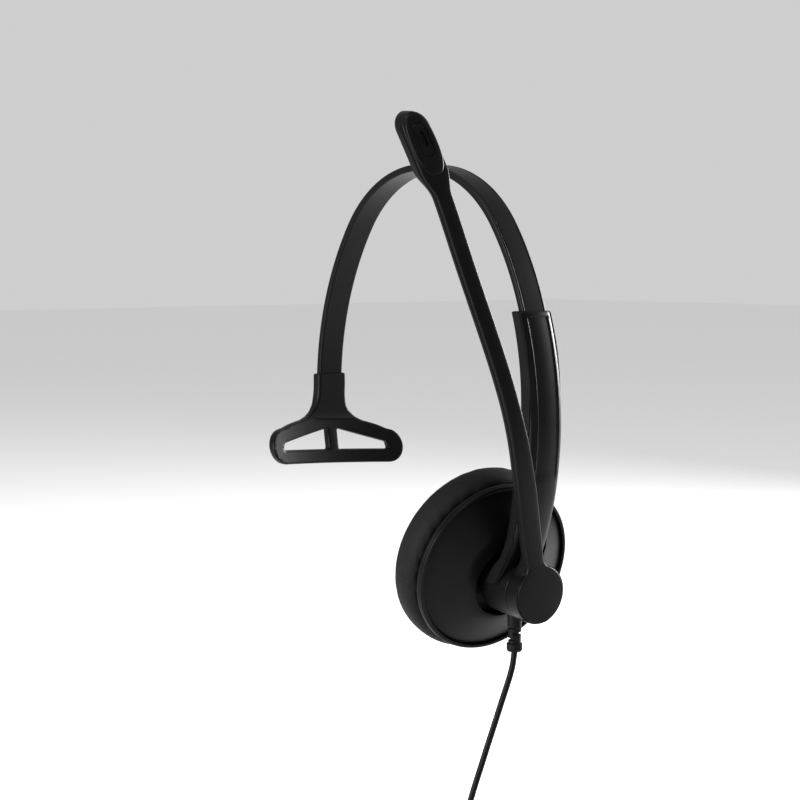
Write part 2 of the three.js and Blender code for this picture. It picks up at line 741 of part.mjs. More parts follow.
function earCup() {
  const rim = cup.rimRadius - 1.7;
  const cone = turned([
    [-1.2, 0], [-1.2, rim], [0.3, rim], [cup.coneHeight, cup.coneTopRadius], [cup.coneHeight, 0],
  ], cupSegments);
  const hollow = turned([
    [-2, 0], [-2, rim - cup.wall], [0, rim - cup.wall],
    [cup.coneHeight - cup.wall, cup.coneTopRadius - 1], [cup.coneHeight - cup.wall, 0],
  ], cupSegments);
  const floor = 0.6;
  const recessWall = rod(cup.recessRadius + cup.wall, floor - cup.wall, 12);
  const recess = rod(cup.recessRadius, floor, 14);
  const socketRoom = rod(ball.linerRadius + gap, -6, 6, 28);
  const socket = socketRing(
    ball.linerRadius + gap, ball.linerRadius + gap + ball.socketWall, ball.linerHalfLength, false,
  );
  const nub = rod(1.9, 2, 7.6, 14).translate(0, 0, 15.4);
  const coneSolid = solid(atCup(cone));
  const shell = coneSolid.subtract(solid(atCup(hollow)))
    .add(coneSolid.intersect(solid(atBall(recessWall))))
    .add(solid(atCup(nub)).subtract(solid(atCup(hollow))))
    .subtract(solid(atBall(recess)))
    .subtract(solid(atBall(socketRoom)))
    .add(solid(atBall(socket)));
  const hollowReach = (rim - cup.wall - screwRadius) / (rim - cup.wall - cup.coneTopRadius + 1);
  const bossTop = hollowReach * (cup.coneHeight - cup.wall); // the hollow's height over a screw
  const bosses = screwTurns.reduce(
    (sum, turn) => sum.add(solid(atScrew(ring(1.2, 2.3, -3.9, bossTop, 16), turn))), shell,
  );

  const rimProfile = [
    [-1.6, rim + gap], [-1.6, cup.rimRadius], [-0.2, cup.rimRadius], [0, cup.rimRadius - 0.35],
    [0.2, cup.rimRadius], [0.9, cup.rimRadius - 0.1], [1.3, cup.rimRadius - 0.6], [1.3, rim + gap],
  ];
  const baffleTop = -4.2;
  const baffle = solid(atCup(ring(9.6, rim - 1.2, baffleTop - 1.4, baffleTop, 36)))
    .add(solid(atCup(ring(rim - 2.6, rim - 1.2, baffleTop - 0.5, -1.8, 36))));
  const drilled = screwTurns.reduce(
    (left, turn) => left.subtract(solid(atScrew(rod(2, -8, -1, 16), turn))), baffle,
  );
  const screws = screwTurns.map((turn) => {
    const screw = turned([
      [-5.4, 0], [-5.4, 1.7], [-4.6, 1.7], [-4.6, 0.9], [-0.6, 0.9], [-0.6, 0],
    ], 16);
    return atScrew(screw, turn);
  });
  const driverTop = -6;
  const basket = turned([
    [driverTop, 6.6], [driverTop, 12.6], [driverTop - 3.2, 12.6], [driverTop - 3.2, 11.4],
    [driverTop - 1, 11.4], [driverTop - 1, 6.6],
  ].reverse(), 32);
  const magnet = rod(6.2, driverTop - 0.8, baffleTop - 0.2, 28);
  const membrane = turned([
    [driverTop - 1.6, 0], [driverTop - 1.6, 4], [driverTop - 2.2, 11], [driverTop - 2.5, 11],
    [driverTop - 2.0, 4], [driverTop - 2.0, 0],
  ].reverse(), 32);
  const cloth = rod(12.9, driverTop - 4.1, driverTop - 3.6, 32);
  return [
    piece("cup_shell", bosses, "plastic"),
    piece("cup_rim", atCup(turned(rimProfile, 48)), "plastic"),
    piece("speaker_baffle", drilled, "plastic"),
    piece("speaker_basket", atCup(basket), "plastic"),
    piece("speaker_magnet", atCup(magnet), "magnet"),
    piece("speaker_membrane", atCup(membrane), "softPlastic"),
    piece("speaker_cloth", atCup(cloth), "cloth"),
    piece("ear_cushion", cushion(baffleTop - 1.4 - gap), "softPlastic"),
    ...screws.map((screw, i) => piece(`baffle_screw_${i + 1}`, screw, "steel")),
  ];
}

/** The soft ring that lies on the ear. */
function cushion(backX) {
  const inner = cup.cushionHole;
  const outer = cup.cushionRadius;
  const frontX = backX - cup.cushionThickness + 3.6;
  const shoulder = 4.2;
  const seat = cup.rimRadius - 2.5; // round the edge of the baffle
  const profile = [
    [backX, inner + 1], [backX, seat], [-1.9, seat], [-1.9, cup.rimRadius - 0.8],
  ];
  const steps = 4;
  for (let i = 0; i <= steps; i += 1) {
    const turn = (Math.PI / 2) * (i / steps);
    profile.push([frontX + shoulder * (1 - Math.sin(turn)), outer - shoulder * (1 - Math.cos(turn))]);
  }
  for (let i = 0; i <= steps; i += 1) {
    const turn = (Math.PI / 2) * (i / steps);
    profile.push([
      frontX + shoulder * (1 - Math.cos(turn)),
      inner + shoulder * (1 - Math.sin(turn)),
    ]);
  }
  return atCup(turned(profile.reverse(), 40));
}

// ---------------------------------------------------------------- cord, coil and plug

function strainRelief() {
  const r = relief.radius;
  const flange = [hub.wall + 2.3, hub.wall + 1.1]; // clear of the round wall inside the hub
  const profile = [[flange[0], 0], [flange[0], r + 0.7], [flange[1], r + 0.7], [flange[1], r]];
  const rings = 3;
  let x = -3.6;
  for (let i = 0; i < rings; i += 1) {
    const here = r - 0.12 * i;
    profile.push([x, here], [x - 0.05, here - 0.7], [x - 0.75, here - 0.7], [x - 0.8, here]);
    x -= 2.2;
  }
  profile.push([x, relief.collar - 0.3], [-relief.length + 0.4, relief.collar - 0.5]);
  profile.push([-relief.length, relief.collar - 1.2], [-relief.length, 0]);
  const body = turned(profile.reverse(), 20).rotateY(-Math.PI / 2);
  return piece("strain_relief", body.translate(exit.x, exit.y, exit.z), "softPlastic");
}

// The cord's own route from the strain relief to the coil, chosen by hand.
const coilCentre = new THREE.Vector3(21.5, -17, -104);
const runPoints = [
  new THREE.Vector3(exit.x, exit.y, exit.z - relief.length - gap),
  new THREE.Vector3(43.7, 0, -27),
  new THREE.Vector3(42.6, -4.5, -40),
  new THREE.Vector3(41, -10.5, -57),
  new THREE.Vector3(40.2, -16.5, -73),
];
const bundle = (cord.turns * cord.pitch) / 2; // half the coil's square section
const outerTurn = bundle - cord.pitch / 2; // from the coil's middle plane to its first and last turns

/** A tube of the cord's diameter through points. */
function tube(points, steps) {
  const curve = new THREE.CatmullRomCurve3(points, false, "centripetal");
  const section = new THREE.Shape();
  const sides = 8;
  for (let i = 0; i < sides; i += 1) {
    const turn = (2 * Math.PI * i) / sides;
    const x = (cord.diameter / 2) * Math.cos(turn);
    const y = (cord.diameter / 2) * Math.sin(turn);
    if (i === 0) section.moveTo(x, y);
    else section.lineTo(x, y);
  }
  section.closePath();
  return new THREE.ExtrudeGeometry(section, { steps, extrudePath: curve, bevelEnabled: false });
}

const bundleOuter = cord.coilRadius + bundle;
const meetZ = Math.sqrt(bundleOuter ** 2 - (cord.coilRadius - 1.1) ** 2);

function cordPieces() {
  const entryX = coilCentre.x + cord.coilRadius;
  const run = [
    ...runPoints,
    new THREE.Vector3(entryX, coilCentre.y - outerTurn, coilCentre.z + meetZ + gap),
  ];
  const tailTop = new THREE.Vector3(
    entryX, coilCentre.y + outerTurn, coilCentre.z - meetZ - gap,
  );
  const tailFoot = tailTop.clone().add(new THREE.Vector3(0, 0, -14));
  const coil = turned([
    [-bundle, cord.coilRadius - bundle], [-bundle, bundleOuter],
    [bundle, bundleOuter], [bundle, cord.coilRadius - bundle],
  ], 40).rotateZ(Math.PI / 2).translate(coilCentre.x, coilCentre.y, coilCentre.z);
  const tieHalf = bundle + gap;
  const strap = 1.2;
  const tieShape = roundedRectangle(2 * (tieHalf + strap), 2 * (tieHalf + strap), 1.5);
  tieShape.holes.push(roundedRectangle(2 * tieHalf, 2 * tieHalf, 0.4));
  const tie = extrude(tieShape, 4).rotateY(Math.PI / 2)
    .translate(coilCentre.x, coilCentre.y, coilCentre.z - cord.coilRadius);
  return [
    piece("cord_run", tube(run, 28), "softPlastic"),
    piece("cord_coil", coil, "softPlastic"),
    piece("cord_tail", tube([tailTop, tailFoot], 4), "softPlastic"),
    piece("cord_tie", tie, "softPlastic"),
    ...usbPlug(tailFoot),
  ];
}

/** A type-A plug hanging from the cord's end. */
function usbPlug(cordEnd) {
  const top = cordEnd.z - gap;
  const boot = turned([
    [-9, 0], [-9, 3.4], [-6, 3.1], [-1, 2.2], [0, 1.8], [0, 0],
  ], 24).rotateY(-Math.PI / 2).translate(cordEnd.x, cordEnd.y, top);
  const gripTop = top - 8.5;
  const gripLength = 22;
  const grip = extrude(roundedRectangle(15.5, 7.8, 2), gripLength, 0.7)
    .translate(cordEnd.x, cordEnd.y, gripTop - gripLength / 2);
  const shellTop = gripTop - gripLength - gap;
  const shellShape = roundedRectangle(12, 4.5, 0.4);
  shellShape.holes.push(roundedRectangle(11.4, 3.9, 0.2));
  const shellLength = 11.75;
  const shell = extrude(shellShape, shellLength)
    .translate(cordEnd.x, cordEnd.y, shellTop - shellLength / 2);
  const tongue = new THREE.BoxGeometry(11, 1.8, shellLength - 0.8)
    .translate(cordEnd.x, cordEnd.y + 0.8, shellTop - (shellLength - 0.8) / 2);
  return [
    piece("plug_grip", solid(boot).add(solid(grip)), "plastic"),
    piece("plug_shell", shell, "steel"),
    piece("plug_tongue", tongue, "plastic"),
  ];
}

// ---------------------------------------------------------------- the headset

const junctionBoard = () =>
  piece("junction_board", atHub(rod(hub.radius - 4.4, -16.9, -15.9, 32)), "board");

const headset = new THREE.Group();
const joint = ballJoint();
headset.add(
  ...headband(),
  ...templeRest(),
  ...sliderArm(),
  ...boomArm(),
  ...pivot(),
  junctionBoard(),
  joint.stud,
  joint.liner,
  ...earCup(),
  strainRelief(),
  ...cordPieces(),
);

export default headset;
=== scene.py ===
"""A corded office headset: slim band, temple rest, sliding arm, ear cup, boom microphone and cord."""

import json
import logging
import math
from collections.abc import Callable, Iterable, Sequence
from dataclasses import dataclass, field
from enum import Enum
from typing import TypeVar

import bmesh
import bpy
from bmesh.types import BMEdge, BMesh, BMVert
from mathutils import Matrix, Vector


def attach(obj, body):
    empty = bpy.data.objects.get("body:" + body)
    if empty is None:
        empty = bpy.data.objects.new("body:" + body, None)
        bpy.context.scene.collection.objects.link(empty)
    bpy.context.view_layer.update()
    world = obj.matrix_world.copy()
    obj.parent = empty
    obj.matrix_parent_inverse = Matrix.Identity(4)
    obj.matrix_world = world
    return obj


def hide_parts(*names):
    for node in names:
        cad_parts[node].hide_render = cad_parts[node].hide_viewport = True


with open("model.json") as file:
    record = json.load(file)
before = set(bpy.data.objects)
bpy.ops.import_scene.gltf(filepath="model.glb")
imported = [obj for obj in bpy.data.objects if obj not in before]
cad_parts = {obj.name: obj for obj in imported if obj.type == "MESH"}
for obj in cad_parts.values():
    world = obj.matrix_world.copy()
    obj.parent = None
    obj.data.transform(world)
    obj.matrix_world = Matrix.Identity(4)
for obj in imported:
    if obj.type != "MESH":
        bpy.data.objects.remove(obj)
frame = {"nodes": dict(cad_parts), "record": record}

MM = 0.001
LOG = logging.getLogger("headset")
RECORD = frame["record"]
JOINTS = {joint["name"]: joint for joint in RECORD["behaviour"]["joints"]}
Ring = Sequence[Vector]
Point = tuple[float, float]
Amount = TypeVar("Amount", float, Vector)


# ---------------------------------------------------------------- places


def to_mm(point: Iterable[float]) -> Vector:
    """A point of the record, in millimetres."""
    return Vector(point) / MM


@dataclass(frozen=True)
class Place:
    """A frame whose X axis is a piece's own axis and whose Y axis is level."""

    origin: Vector
    axis: Vector

    def matrix(self) -> Matrix:
        """The frame as a matrix, in millimetres."""
        x = self.axis.normalized()
        y = Vector((0, 0, 1)).cross(x).normalized()
        made = Matrix((x, y, x.cross(y))).transposed().to_4x4()
        made.translation = self.origin
        return made


def smoothstep(value: float, start: float, end: float) -> float:
    """0 before start, 1 after end, and an even S between them."""
    share = min(1.0, max(0.0, (value - start) / (end - start)))
    return share * share * (3 - 2 * share)


def rows(start: float, end: float, step: float) -> list[float]:
    """Even stops from start to end, about a step apart."""
    count = max(1, round(abs(end - start) / step))
    return [start + (end - start) * i / count for i in range(count + 1)]


def hermite(start: Amount, leave: Amount, end: Amount, arrive: Amount, t: float) -> Amount:
    """A point of a cubic span.

    Args:
        start: where it starts.
        leave: its slope there.
        end: where it ends.
        arrive: its slope there.
        t: the share of the span.

    Returns:
        The point, a number or a vector as the others are.
    """
    return (
        start * (2 * t**3 - 3 * t**2 + 1)
        + leave * (t**3 - 2 * t**2 + t)
        + end * (3 * t**2 - 2 * t**3)
        + arrive * (t**3 - t**2)
    )


@dataclass(frozen=True)
class Track:
    """A smooth line through knots (along, value)."""

    knots: tuple[Point, ...]

    def at(self, along: float) -> float:
        """The line's value at a distance along it."""
        knots = self.knots
        last = len(knots) - 2
        i = next((k for k in range(last + 1) if along <= knots[k + 1][0]), last)
        span = knots[i + 1][0] - knots[i][0]
        t = (along - knots[i][0]) / span
        a, b = self._slope(i) * span, self._slope(i + 1) * span
        p, q = knots[i][1], knots[i + 1][1]
        return hermite(p, a, q, b, t)

    def _slope(self, i: int) -> float:
        """The line's slope at a knot."""
        low, high = max(0, i - 1), min(len(self.knots) - 1, i + 1)
        rise = self.knots[high][1] - self.knots[low][1]
        return rise / (self.knots[high][0] - self.knots[low][0])


# ---------------------------------------------------------------- shaping


def fill(mesh: BMesh, edges: Sequence[BMEdge]) -> None:
    """Closes a ring of edges with one face."""
    bmesh.ops.contextual_create(mesh, geom=list(edges))


def loft(rings: Sequence[Ring], caps: bool = True, joined: bool = False) -> BMesh:
    """A skin through rings of points.

    Args:
        rings: the points of each ring, the same number in each.
        caps: whether the first and last rings are closed with a face.
        joined: whether the last ring is joined to the first.

    Returns:
        The mesh.
    """
    mesh = bmesh.new()
    spot = mesh.verts.layers.int.new("spot")
    count = len(rings[0])
    ring = bmesh.ops.create_circle(mesh, cap_ends=False, segments=count, radius=1.0)["verts"]
    for vert in ring:
        vert[spot] = round(math.atan2(vert.co.y, vert.co.x) / (2 * math.pi) * count) % count
        vert.co = rings[0][vert[spot]]
    first = edges = list(mesh.edges)
    for points in rings[1:]:
        made = bmesh.ops.extrude_edge_only(mesh, edges=edges)["geom"]
        verts = {item for item in made if isinstance(item, BMVert)}
        edges = [
            item
            for item in made
            if isinstance(item, BMEdge) and all(vert in verts for vert in item.verts)
        ]
        for vert in verts:
            vert.co = points[vert[spot]]
    if joined:
        bmesh.ops.bridge_loops(mesh, edges=[*first, *edges])
    elif caps:
        fill(mesh, first)
        fill(mesh, edges)
    bmesh.ops.recalc_face_normals(mesh, faces=mesh.faces)
    return mesh


def rounded_box(half_x: float, half_y: float, radius: float, steps: int = 5) -> list[Point]:
    """A rectangle with round corners, as points (x, y) from the corner at +x, +y."""
    points = []
    for corner, (sx, sy) in enumerate(((1, 1), (-1, 1), (-1, -1), (1, -1))):
        for step in range(steps):
            turn = math.pi / 2 * (corner + step / (steps - 1))
            x = sx * (half_x - radius) + radius * math.cos(turn)
            y = sy * (half_y - radius) + radius * math.sin(turn)
            points.append((x, y))
    return points


def turned(profile: Sequence[Point], segments: int = 96, closed: bool = False) -> BMesh:
    """A body turned about X.

    Args:
        profile: points (x, radius).
        segments: steps round the axis.
        closed: whether the last point joins the first.

    Returns:
        The mesh.
    """
    mesh = bmesh.new()
    verts = [mesh.verts.new((x, 0, radius)) for x, radius in profile]
    edges = [mesh.edges.new(pair) for pair in zip(verts, verts[1:])]
    if closed:
        edges.append(mesh.edges.new((verts[-1], verts[0])))
    bmesh.ops.spin(
        mesh, geom=verts + edges, cent=(0, 0, 0), axis=(1, 0, 0), dvec=(0, 0, 0),
        angle=2 * math.pi, steps=segments, use_merge=True, use_duplicate=False,
    )
    bmesh.ops.remove_doubles(mesh, verts=mesh.verts, dist=1e-4)
    bmesh.ops.recalc_face_normals(mesh, faces=mesh.faces)
    return mesh


def add(target: BMesh, source: BMesh) -> None:
    """Adds a mesh's geometry to another; it is used up."""
    carrier = bpy.data.meshes.new("carrier")
    source.to_mesh(carrier)
    source.free()
    target.from_mesh(carrier)
    bpy.data.meshes.remove(carrier)


def cut_up(mesh: BMesh, axis: str, stops: Iterable[float]) -> None:
    """Cuts a mesh across an axis at each stop, so that it can bend."""
    normal = {"X": (1, 0, 0), "Y": (0, 1, 0), "Z": (0, 0, 1)}[axis]
    for stop in stops:
        geom = [*mesh.verts, *mesh.edges, *mesh.faces]
        bmesh.ops.bisect_plane(
            mesh, geom=geom, dist=1e-5, plane_co=Vector(normal) * stop, plane_no=normal
        )


def bezier(knots: Sequence[Point], steps: int) -> list[Point]:
    """Points on a cubic curve, its first knot left out."""
    points = []
    for step in range(1, steps + 1):
        t = step / steps
        weights = ((1 - t) ** 3, 3 * t * (1 - t) ** 2, 3 * t * t * (1 - t), t**3)
        points.append(tuple(sum(w * knot[axis] for w, knot in zip(weights, knots)) for axis in (0, 1)))
    return points


def shrunk(loop: Sequence[Point], inset: float) -> list[Point]:
    """A closed outline moved in by an inset, or out where that is negative."""
    area = sum(a[0] * b[1] - b[0] * a[1] for a, b in zip(loop, [*loop[1:], loop[0]]))
    turn = 1 if area > 0 else -1
    points = []
    for i, (y, z) in enumerate(loop):
        before, after = Vector(loop[i - 1]), Vector(loop[(i + 1) % len(loop)])
        here = Vector((y, z))
        ways = [(here - before).normalized(), (after - here).normalized()]
        normal = sum((Vector((-way.y, way.x)) for way in ways), Vector((0, 0)))
        size = normal.length
        normal = normal / max(size, 1e-6) * min(1.6, 2 / max(size, 1e-6)) * turn * inset
        points.append((y + normal.x, z + normal.y))
    return points


def move(mesh: BMesh, change: Callable[[Vector], Vector]) -> None:
    """Moves every vertex by a function of its place."""
    for vert in mesh.verts:
        vert.co = change(vert.co)


# ---------------------------------------------------------------- materials


class Value:
    """A number in a shader: arithmetic on it adds Math nodes."""

    def __init__(self, graph: "Graph", socket: bpy.types.NodeSocket) -> None:
        """Wraps a socket of a graph."""
        self.graph = graph
        self.socket = socket

    def _math(self, operation: str, first: object, second: object) -> "Value":
        """One Math node."""
        node = self.graph.node("ShaderNodeMath", {"operation": operation}, {0: first, 1: second})
        return Value(self.graph, node.outputs[0])

    def __add__(self, other: object) -> "Value":
        """Sum."""
        return self._math("ADD", self, other)

    def __sub__(self, other: object) -> "Value":
        """Difference."""
        return self._math("SUBTRACT", self, other)

    def __rsub__(self, other: object) -> "Value":
        """Difference from a number."""
        return self._math("SUBTRACT", other, self)

    def __mul__(self, other: object) -> "Value":
        """Product."""
        return self._math("MULTIPLY", self, other)

    __radd__ = __add__
    __rmul__ = __mul__


class Graph:
    """A material's nodes."""

    def __init__(self, name: str) -> None:
        """Starts a material with one Principled shader."""
        self.material = bpy.data.materials.new(name)
        self.material.use_nodes = True
        self.tree = self.material.node_tree
        self.shader = next(n for n in self.tree.nodes if n.type == "BSDF_PRINCIPLED")

    def node(
        self, kind: str, settings: dict[str, object], inputs: dict[object, object]
    ) -> bpy.types.Node:
        """Adds a node.

        Args:
            kind: the node's type.
            settings: its own properties, set first.
            inputs: values or links, by socket name or number.

        Returns:
            The node.
        """
        made = self.tree.nodes.new(kind)
        for key, value in settings.items():
            setattr(made, key, value)
        self.feed(made, inputs)
        return made

    def feed(self, node: bpy.types.Node, inputs: dict[object, object]) -> None:
        """Sets or links a node's sockets."""
        for key, value in inputs.items():
            if isinstance(value, Value):
                self.tree.links.new(value.socket, node.inputs[key])
            elif isinstance(value, bpy.types.NodeSocket):
                self.tree.links.new(value, node.inputs[key])
            else:
                node.inputs[key].default_value = value

    def places(self) -> bpy.types.NodeSocket:
        """Object coordinates."""
        return self.node("ShaderNodeTexCoord", {}, {}).outputs["Object"]

    def noise(self, size: float, detail: float = 2, stretch: object = None) -> Value:
        """Noise whose features are about a size in millimetres."""
        vector = stretch if stretch is not None else self.places()
        inputs = {"Vector": vector, "Scale": 1 / (size * MM), "Detail": detail}
        return Value(self, self.node("ShaderNodeTexNoise", {}, inputs).outputs[0])

    def cells(self, size: float, feature: str = "F1") -> Value:
        """Distance to scattered cells of about a size in millimetres."""
        inputs = {"Vector": self.places(), "Scale": 1 / (size * MM)}
        node = self.node("ShaderNodeTexVoronoi", {"feature": feature}, inputs)
        return Value(self, node.outputs[0])

    def blend(
        self, share: object, first: Sequence[float], second: Sequence[float]
    ) -> bpy.types.NodeSocket:
        """A colour between two, by a share."""
        inputs = {0: share, 6: (*first, 1), 7: (*second, 1)}
        return self.node("ShaderNodeMix", {"data_type": "RGBA"}, inputs).outputs[2]

    def bump(self, height: Value, depth: float) -> None:
        """Raises the surface by a height of 0 to 1 times a depth in millimetres."""
        inputs = {"Height": height, "Distance": depth * MM, "Strength": 1.0}
        node = self.node("ShaderNodeBump", {}, inputs)
        self.feed(self.shader, {"Normal": node.outputs[0]})


@dataclass(frozen=True)
class Moulding:
    """Black moulded plastic with the fine spark-eroded texture of its mould."""

    name: str
    slot: str
    colour: tuple[float, float, float] = (0.0012, 0.0012, 0.0013)
    worn: tuple[float, float, float] = (0.0026, 0.0026, 0.0028)
    roughness: float = 0.36
    spread: float = 0.08
    sparkle: float = 0.06
    grain: float = 0.16
    depth: float = 0.005
    specular: float = 0.07

    def material(self) -> bpy.types.Material:
        """The plastic as a material."""
        graph = Graph(self.name)
        grain = graph.noise(self.grain, 3)
        clouds = graph.noise(9, 4)
        even = self.roughness - self.spread / 2
        graph.feed(graph.shader, {
            "Base Color": graph.blend(clouds, self.colour, self.worn),
            "Roughness": clouds * self.spread + grain * self.sparkle + even,
            "Specular IOR Level": self.specular,
        })
        graph.bump(grain + graph.noise(2.5, 2) * 0.7, self.depth)
        return graph.material


@dataclass(frozen=True)
class Skin:
    """Thin imitation leather over foam, with a fine pebbled grain."""

    name: str
    slot: str
    colour: tuple[float, float, float] = (0.0016, 0.0016, 0.0017)
    raised: tuple[float, float, float] = (0.0062, 0.0062, 0.0064)
    roughness: float = 0.6
    pebble: float = 0.42
    depth: float = 0.05

    def material(self) -> bpy.types.Material:
        """The skin as a material."""
        graph = Graph(self.name)
        pebbles = graph.cells(self.pebble)
        fine = graph.noise(0.25, 4)
        height = 1 - pebbles + fine * 0.6
        graph.feed(graph.shader, {
            "Base Color": graph.blend(height * 0.7, self.colour, self.raised),
            "Roughness": graph.noise(6, 3) * 0.12 + pebbles * 0.15 + (self.roughness - 0.1),
            "Specular IOR Level": 0.07,
        })
        graph.bump(height, self.depth)
        return graph.material


@dataclass(frozen=True)
class Rubber:
    """Soft matte rubber or cable jacket."""

    name: str
    slot: str
    colour: tuple[float, float, float] = (0.0014, 0.0014, 0.0015)
    dusty: tuple[float, float, float] = (0.0034, 0.0034, 0.0036)
    roughness: float = 0.5

    def material(self) -> bpy.types.Material:
        """The rubber as a material."""
        graph = Graph(self.name)
        fine = graph.noise(0.2, 3)
        clouds = graph.noise(5, 3)
        graph.feed(graph.shader, {
            "Base Color": graph.blend(clouds, self.colour, self.dusty),
            "Roughness": clouds * 0.14 + fine * 0.08 + (self.roughness - 0.11),
            "Specular IOR Level": 0.07,
        })
        graph.bump(fine, 0.012)
        return graph.material


@dataclass(frozen=True)
class Metal:
    """Plated or rolled metal with fine lines along one direction."""

    name: str
    slot: str
    colour: tuple[float, float, float] = (0.56, 0.56, 0.55)
    tarnish: tuple[float, float, float] = (0.38, 0.37, 0.36)
    roughness: float = 0.26
    across: tuple[float, float, float] = (1, 1, 0.06)

    def material(self) -> bpy.types.Material:
        """The metal as a material."""
        graph = Graph(self.name)
        stretched = graph.node(
            "ShaderNodeVectorMath", {"operation": "MULTIPLY"}, {0: graph.places(), 1: self.across}
        ).outputs[0]
        lines = graph.noise(0.12, 3, stretched)
        clouds = graph.noise(2, 3)
        graph.feed(graph.shader, {
            "Base Color": graph.blend(clouds, self.colour, self.tarnish),
            "Roughness": lines * 0.16 + clouds * 0.1 + (self.roughness - 0.12),
            "Metallic": 1.0,
        })
        graph.bump(lines, 0.004)
        return graph.material


@dataclass(frozen=True)
class Weave:
    """A plain open weave of thin threads."""

    name: str
    slot: str
    colour: tuple[float, float, float] = (0.035, 0.035, 0.036)
    hole: tuple[float, float, float] = (0.003, 0.003, 0.003)
    pitch: float = 0.42
    metallic: float = 0.0

    def material(self) -> bpy.types.Material:
        """The cloth or mesh as a material."""
        graph = Graph(self.name)
        places = graph.places()
        waves = [
            Value(graph, graph.node(
                "ShaderNodeTexWave",
                {"wave_type": "BANDS", "bands_direction": direction, "wave_profile": "SIN"},
                {"Vector": places, "Scale": 1 / (self.pitch * MM) / 3.2, "Distortion": 0.4},
            ).outputs[1])
            for direction in ("Y", "Z")
        ]
        threads = waves[0] * 0.5 + waves[1] * 0.5
        graph.feed(graph.shader, {
            "Base Color": graph.blend(threads, self.hole, self.colour),
            "Roughness": 0.85 - threads * 0.2,
            "Metallic": self.metallic,
        })
        graph.bump(threads, 0.08)
        return graph.material


@dataclass(frozen=True)
class Board:
    """Coated circuit board with faint tracks."""

    name: str
    slot: str
    colour: tuple[float, float, float] = (0.012, 0.07, 0.03)
    track: tuple[float, float, float] = (0.03, 0.16, 0.07)

    def material(self) -> bpy.types.Material:
        """The board as a material."""
        graph = Graph(self.name)
        tracks = graph.cells(1.4, "DISTANCE_TO_EDGE")
        graph.feed(graph.shader, {
            "Base Color": graph.blend(tracks * 3, self.track, self.colour),
            "Roughness": graph.noise(0.5, 2) * 0.1 + 0.25,
        })
        graph.bump(tracks, 0.03)
        return graph.material


class Finish(Enum):
    """The headset's finishes."""

    SATIN = Moulding("satin plastic", "black_plastic")
    GLOSSIER = Moulding("hub plastic", "black_plastic", roughness=0.3)
    MATTE = Moulding("matte plastic", "black_plastic", roughness=0.5, specular=0.06)
    SHEATH = Moulding("band sheath", "soft_black", roughness=0.36, grain=0.2)
    RUBBER = Rubber("relief rubber", "soft_black")
    JACKET = Rubber("cord jacket", "soft_black", roughness=0.45)
    CUSHION = Skin("cushion skin", "cushion_skin")
    CLOTH = Weave("speaker cloth", "driver_cloth")
    MESH = Weave(
        "microphone mesh", "bright_steel", colour=(0.5, 0.5, 0.5), pitch=0.3, metallic=1.0
    )
    FILM = Moulding(
        "speaker film", "driver_film", colour=(0.3, 0.3, 0.31), worn=(0.4, 0.4, 0.41),
        roughness=0.2,
    )
    STEEL = Metal("plated steel", "bright_steel")
    SPRING = Metal("spring strip", "spring_steel", colour=(0.45, 0.45, 0.44), roughness=0.3)
    MAGNET = Metal("plated magnet", "magnet_steel", colour=(0.42, 0.42, 0.44), roughness=0.2)
    BOARD = Board("coated board", "circuit_board")
    TONGUE = Moulding(
        "plug insulator", "plug_insulator", colour=(0.62, 0.62, 0.6), worn=(0.7, 0.7, 0.68)
    )


class Paintbox:
    """Makes each finish's material once."""

    def __init__(self) -> None:
        """Starts with no materials."""
        self.made: dict[Finish, bpy.types.Material] = {}

    def material(self, finish: Finish) -> bpy.types.Material:
        """The material of a finish."""
        if finish not in self.made:
            self.made[finish] = finish.value.material()
        return self.made[finish]


PAINT = Paintbox()


@dataclass
class SubAssembly:
    """Pieces that ride on the CAD's bodies."""

    pieces: list[bpy.types.Object] = field(default_factory=list)

    def show(
        self,
        mesh: BMesh,
        name: str,
        finish: Finish,
        body: str,
        stands_for: Sequence[str] = (),
        place: Matrix | None = None,
        sharp: float = 38,
    ) -> bpy.types.Object:
        """Makes a shaped mesh a piece of the headset.

        Args:
            mesh: the shape in millimetres; it is used up.
            name: the piece's name.
            finish: what it is made of.
            body: the CAD body that it rides on.
            stands_for: the CAD nodes that it replaces.
            place: where its own frame lies.
            sharp: edges that turn by more than this many degrees stay crisp.

        Returns:
            The piece.
        """
        if place is not None:
            mesh.transform(place)
        mesh.transform(Matrix.Scale(MM, 4))
        data = bpy.data.meshes.new(name)
        mesh.to_mesh(data)
        mesh.free()
        data.polygons.foreach_set("use_smooth", [True] * len(data.polygons))
        data.set_sharp_from_angle(angle=math.radians(sharp))
        piece = bpy.data.objects.new(name, data)
        bpy.context.scene.collection.objects.link(piece)
        piece.modifiers.new("even shading", "WEIGHTED_NORMAL").keep_sharp = True
        return self.mount(piece, finish, body, stands_for)

    def mount(
        self, piece: bpy.types.Object, finish: Finish, body: str, stands_for: Sequence[str] = ()
    ) -> bpy.types.Object:
        """Dresses a piece, mounts it on its body and returns it."""
        piece.data.materials.clear()
        piece.data.materials.append(PAINT.material(finish))
        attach(piece, body)
        if stands_for:
            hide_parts(*stands_for)
        self.pieces.append(piece)
        return piece

    def dress(self, finishes: dict[str, Finish]) -> None:
        """Gives CAD nodes that stay in view their finishes."""
        for node, finish in finishes.items():
            piece = frame["nodes"][node]
            piece.data.materials.clear()
            piece.data.materials.append(PAINT.material(finish))
            self.pieces.append(piece)

    def report(self) -> None:
        """Logs each piece."""
        for piece in self.pieces:
            LOG.info("%s: %s", type(self).__name__, piece.name)


# ---------------------------------------------------------------- shared places

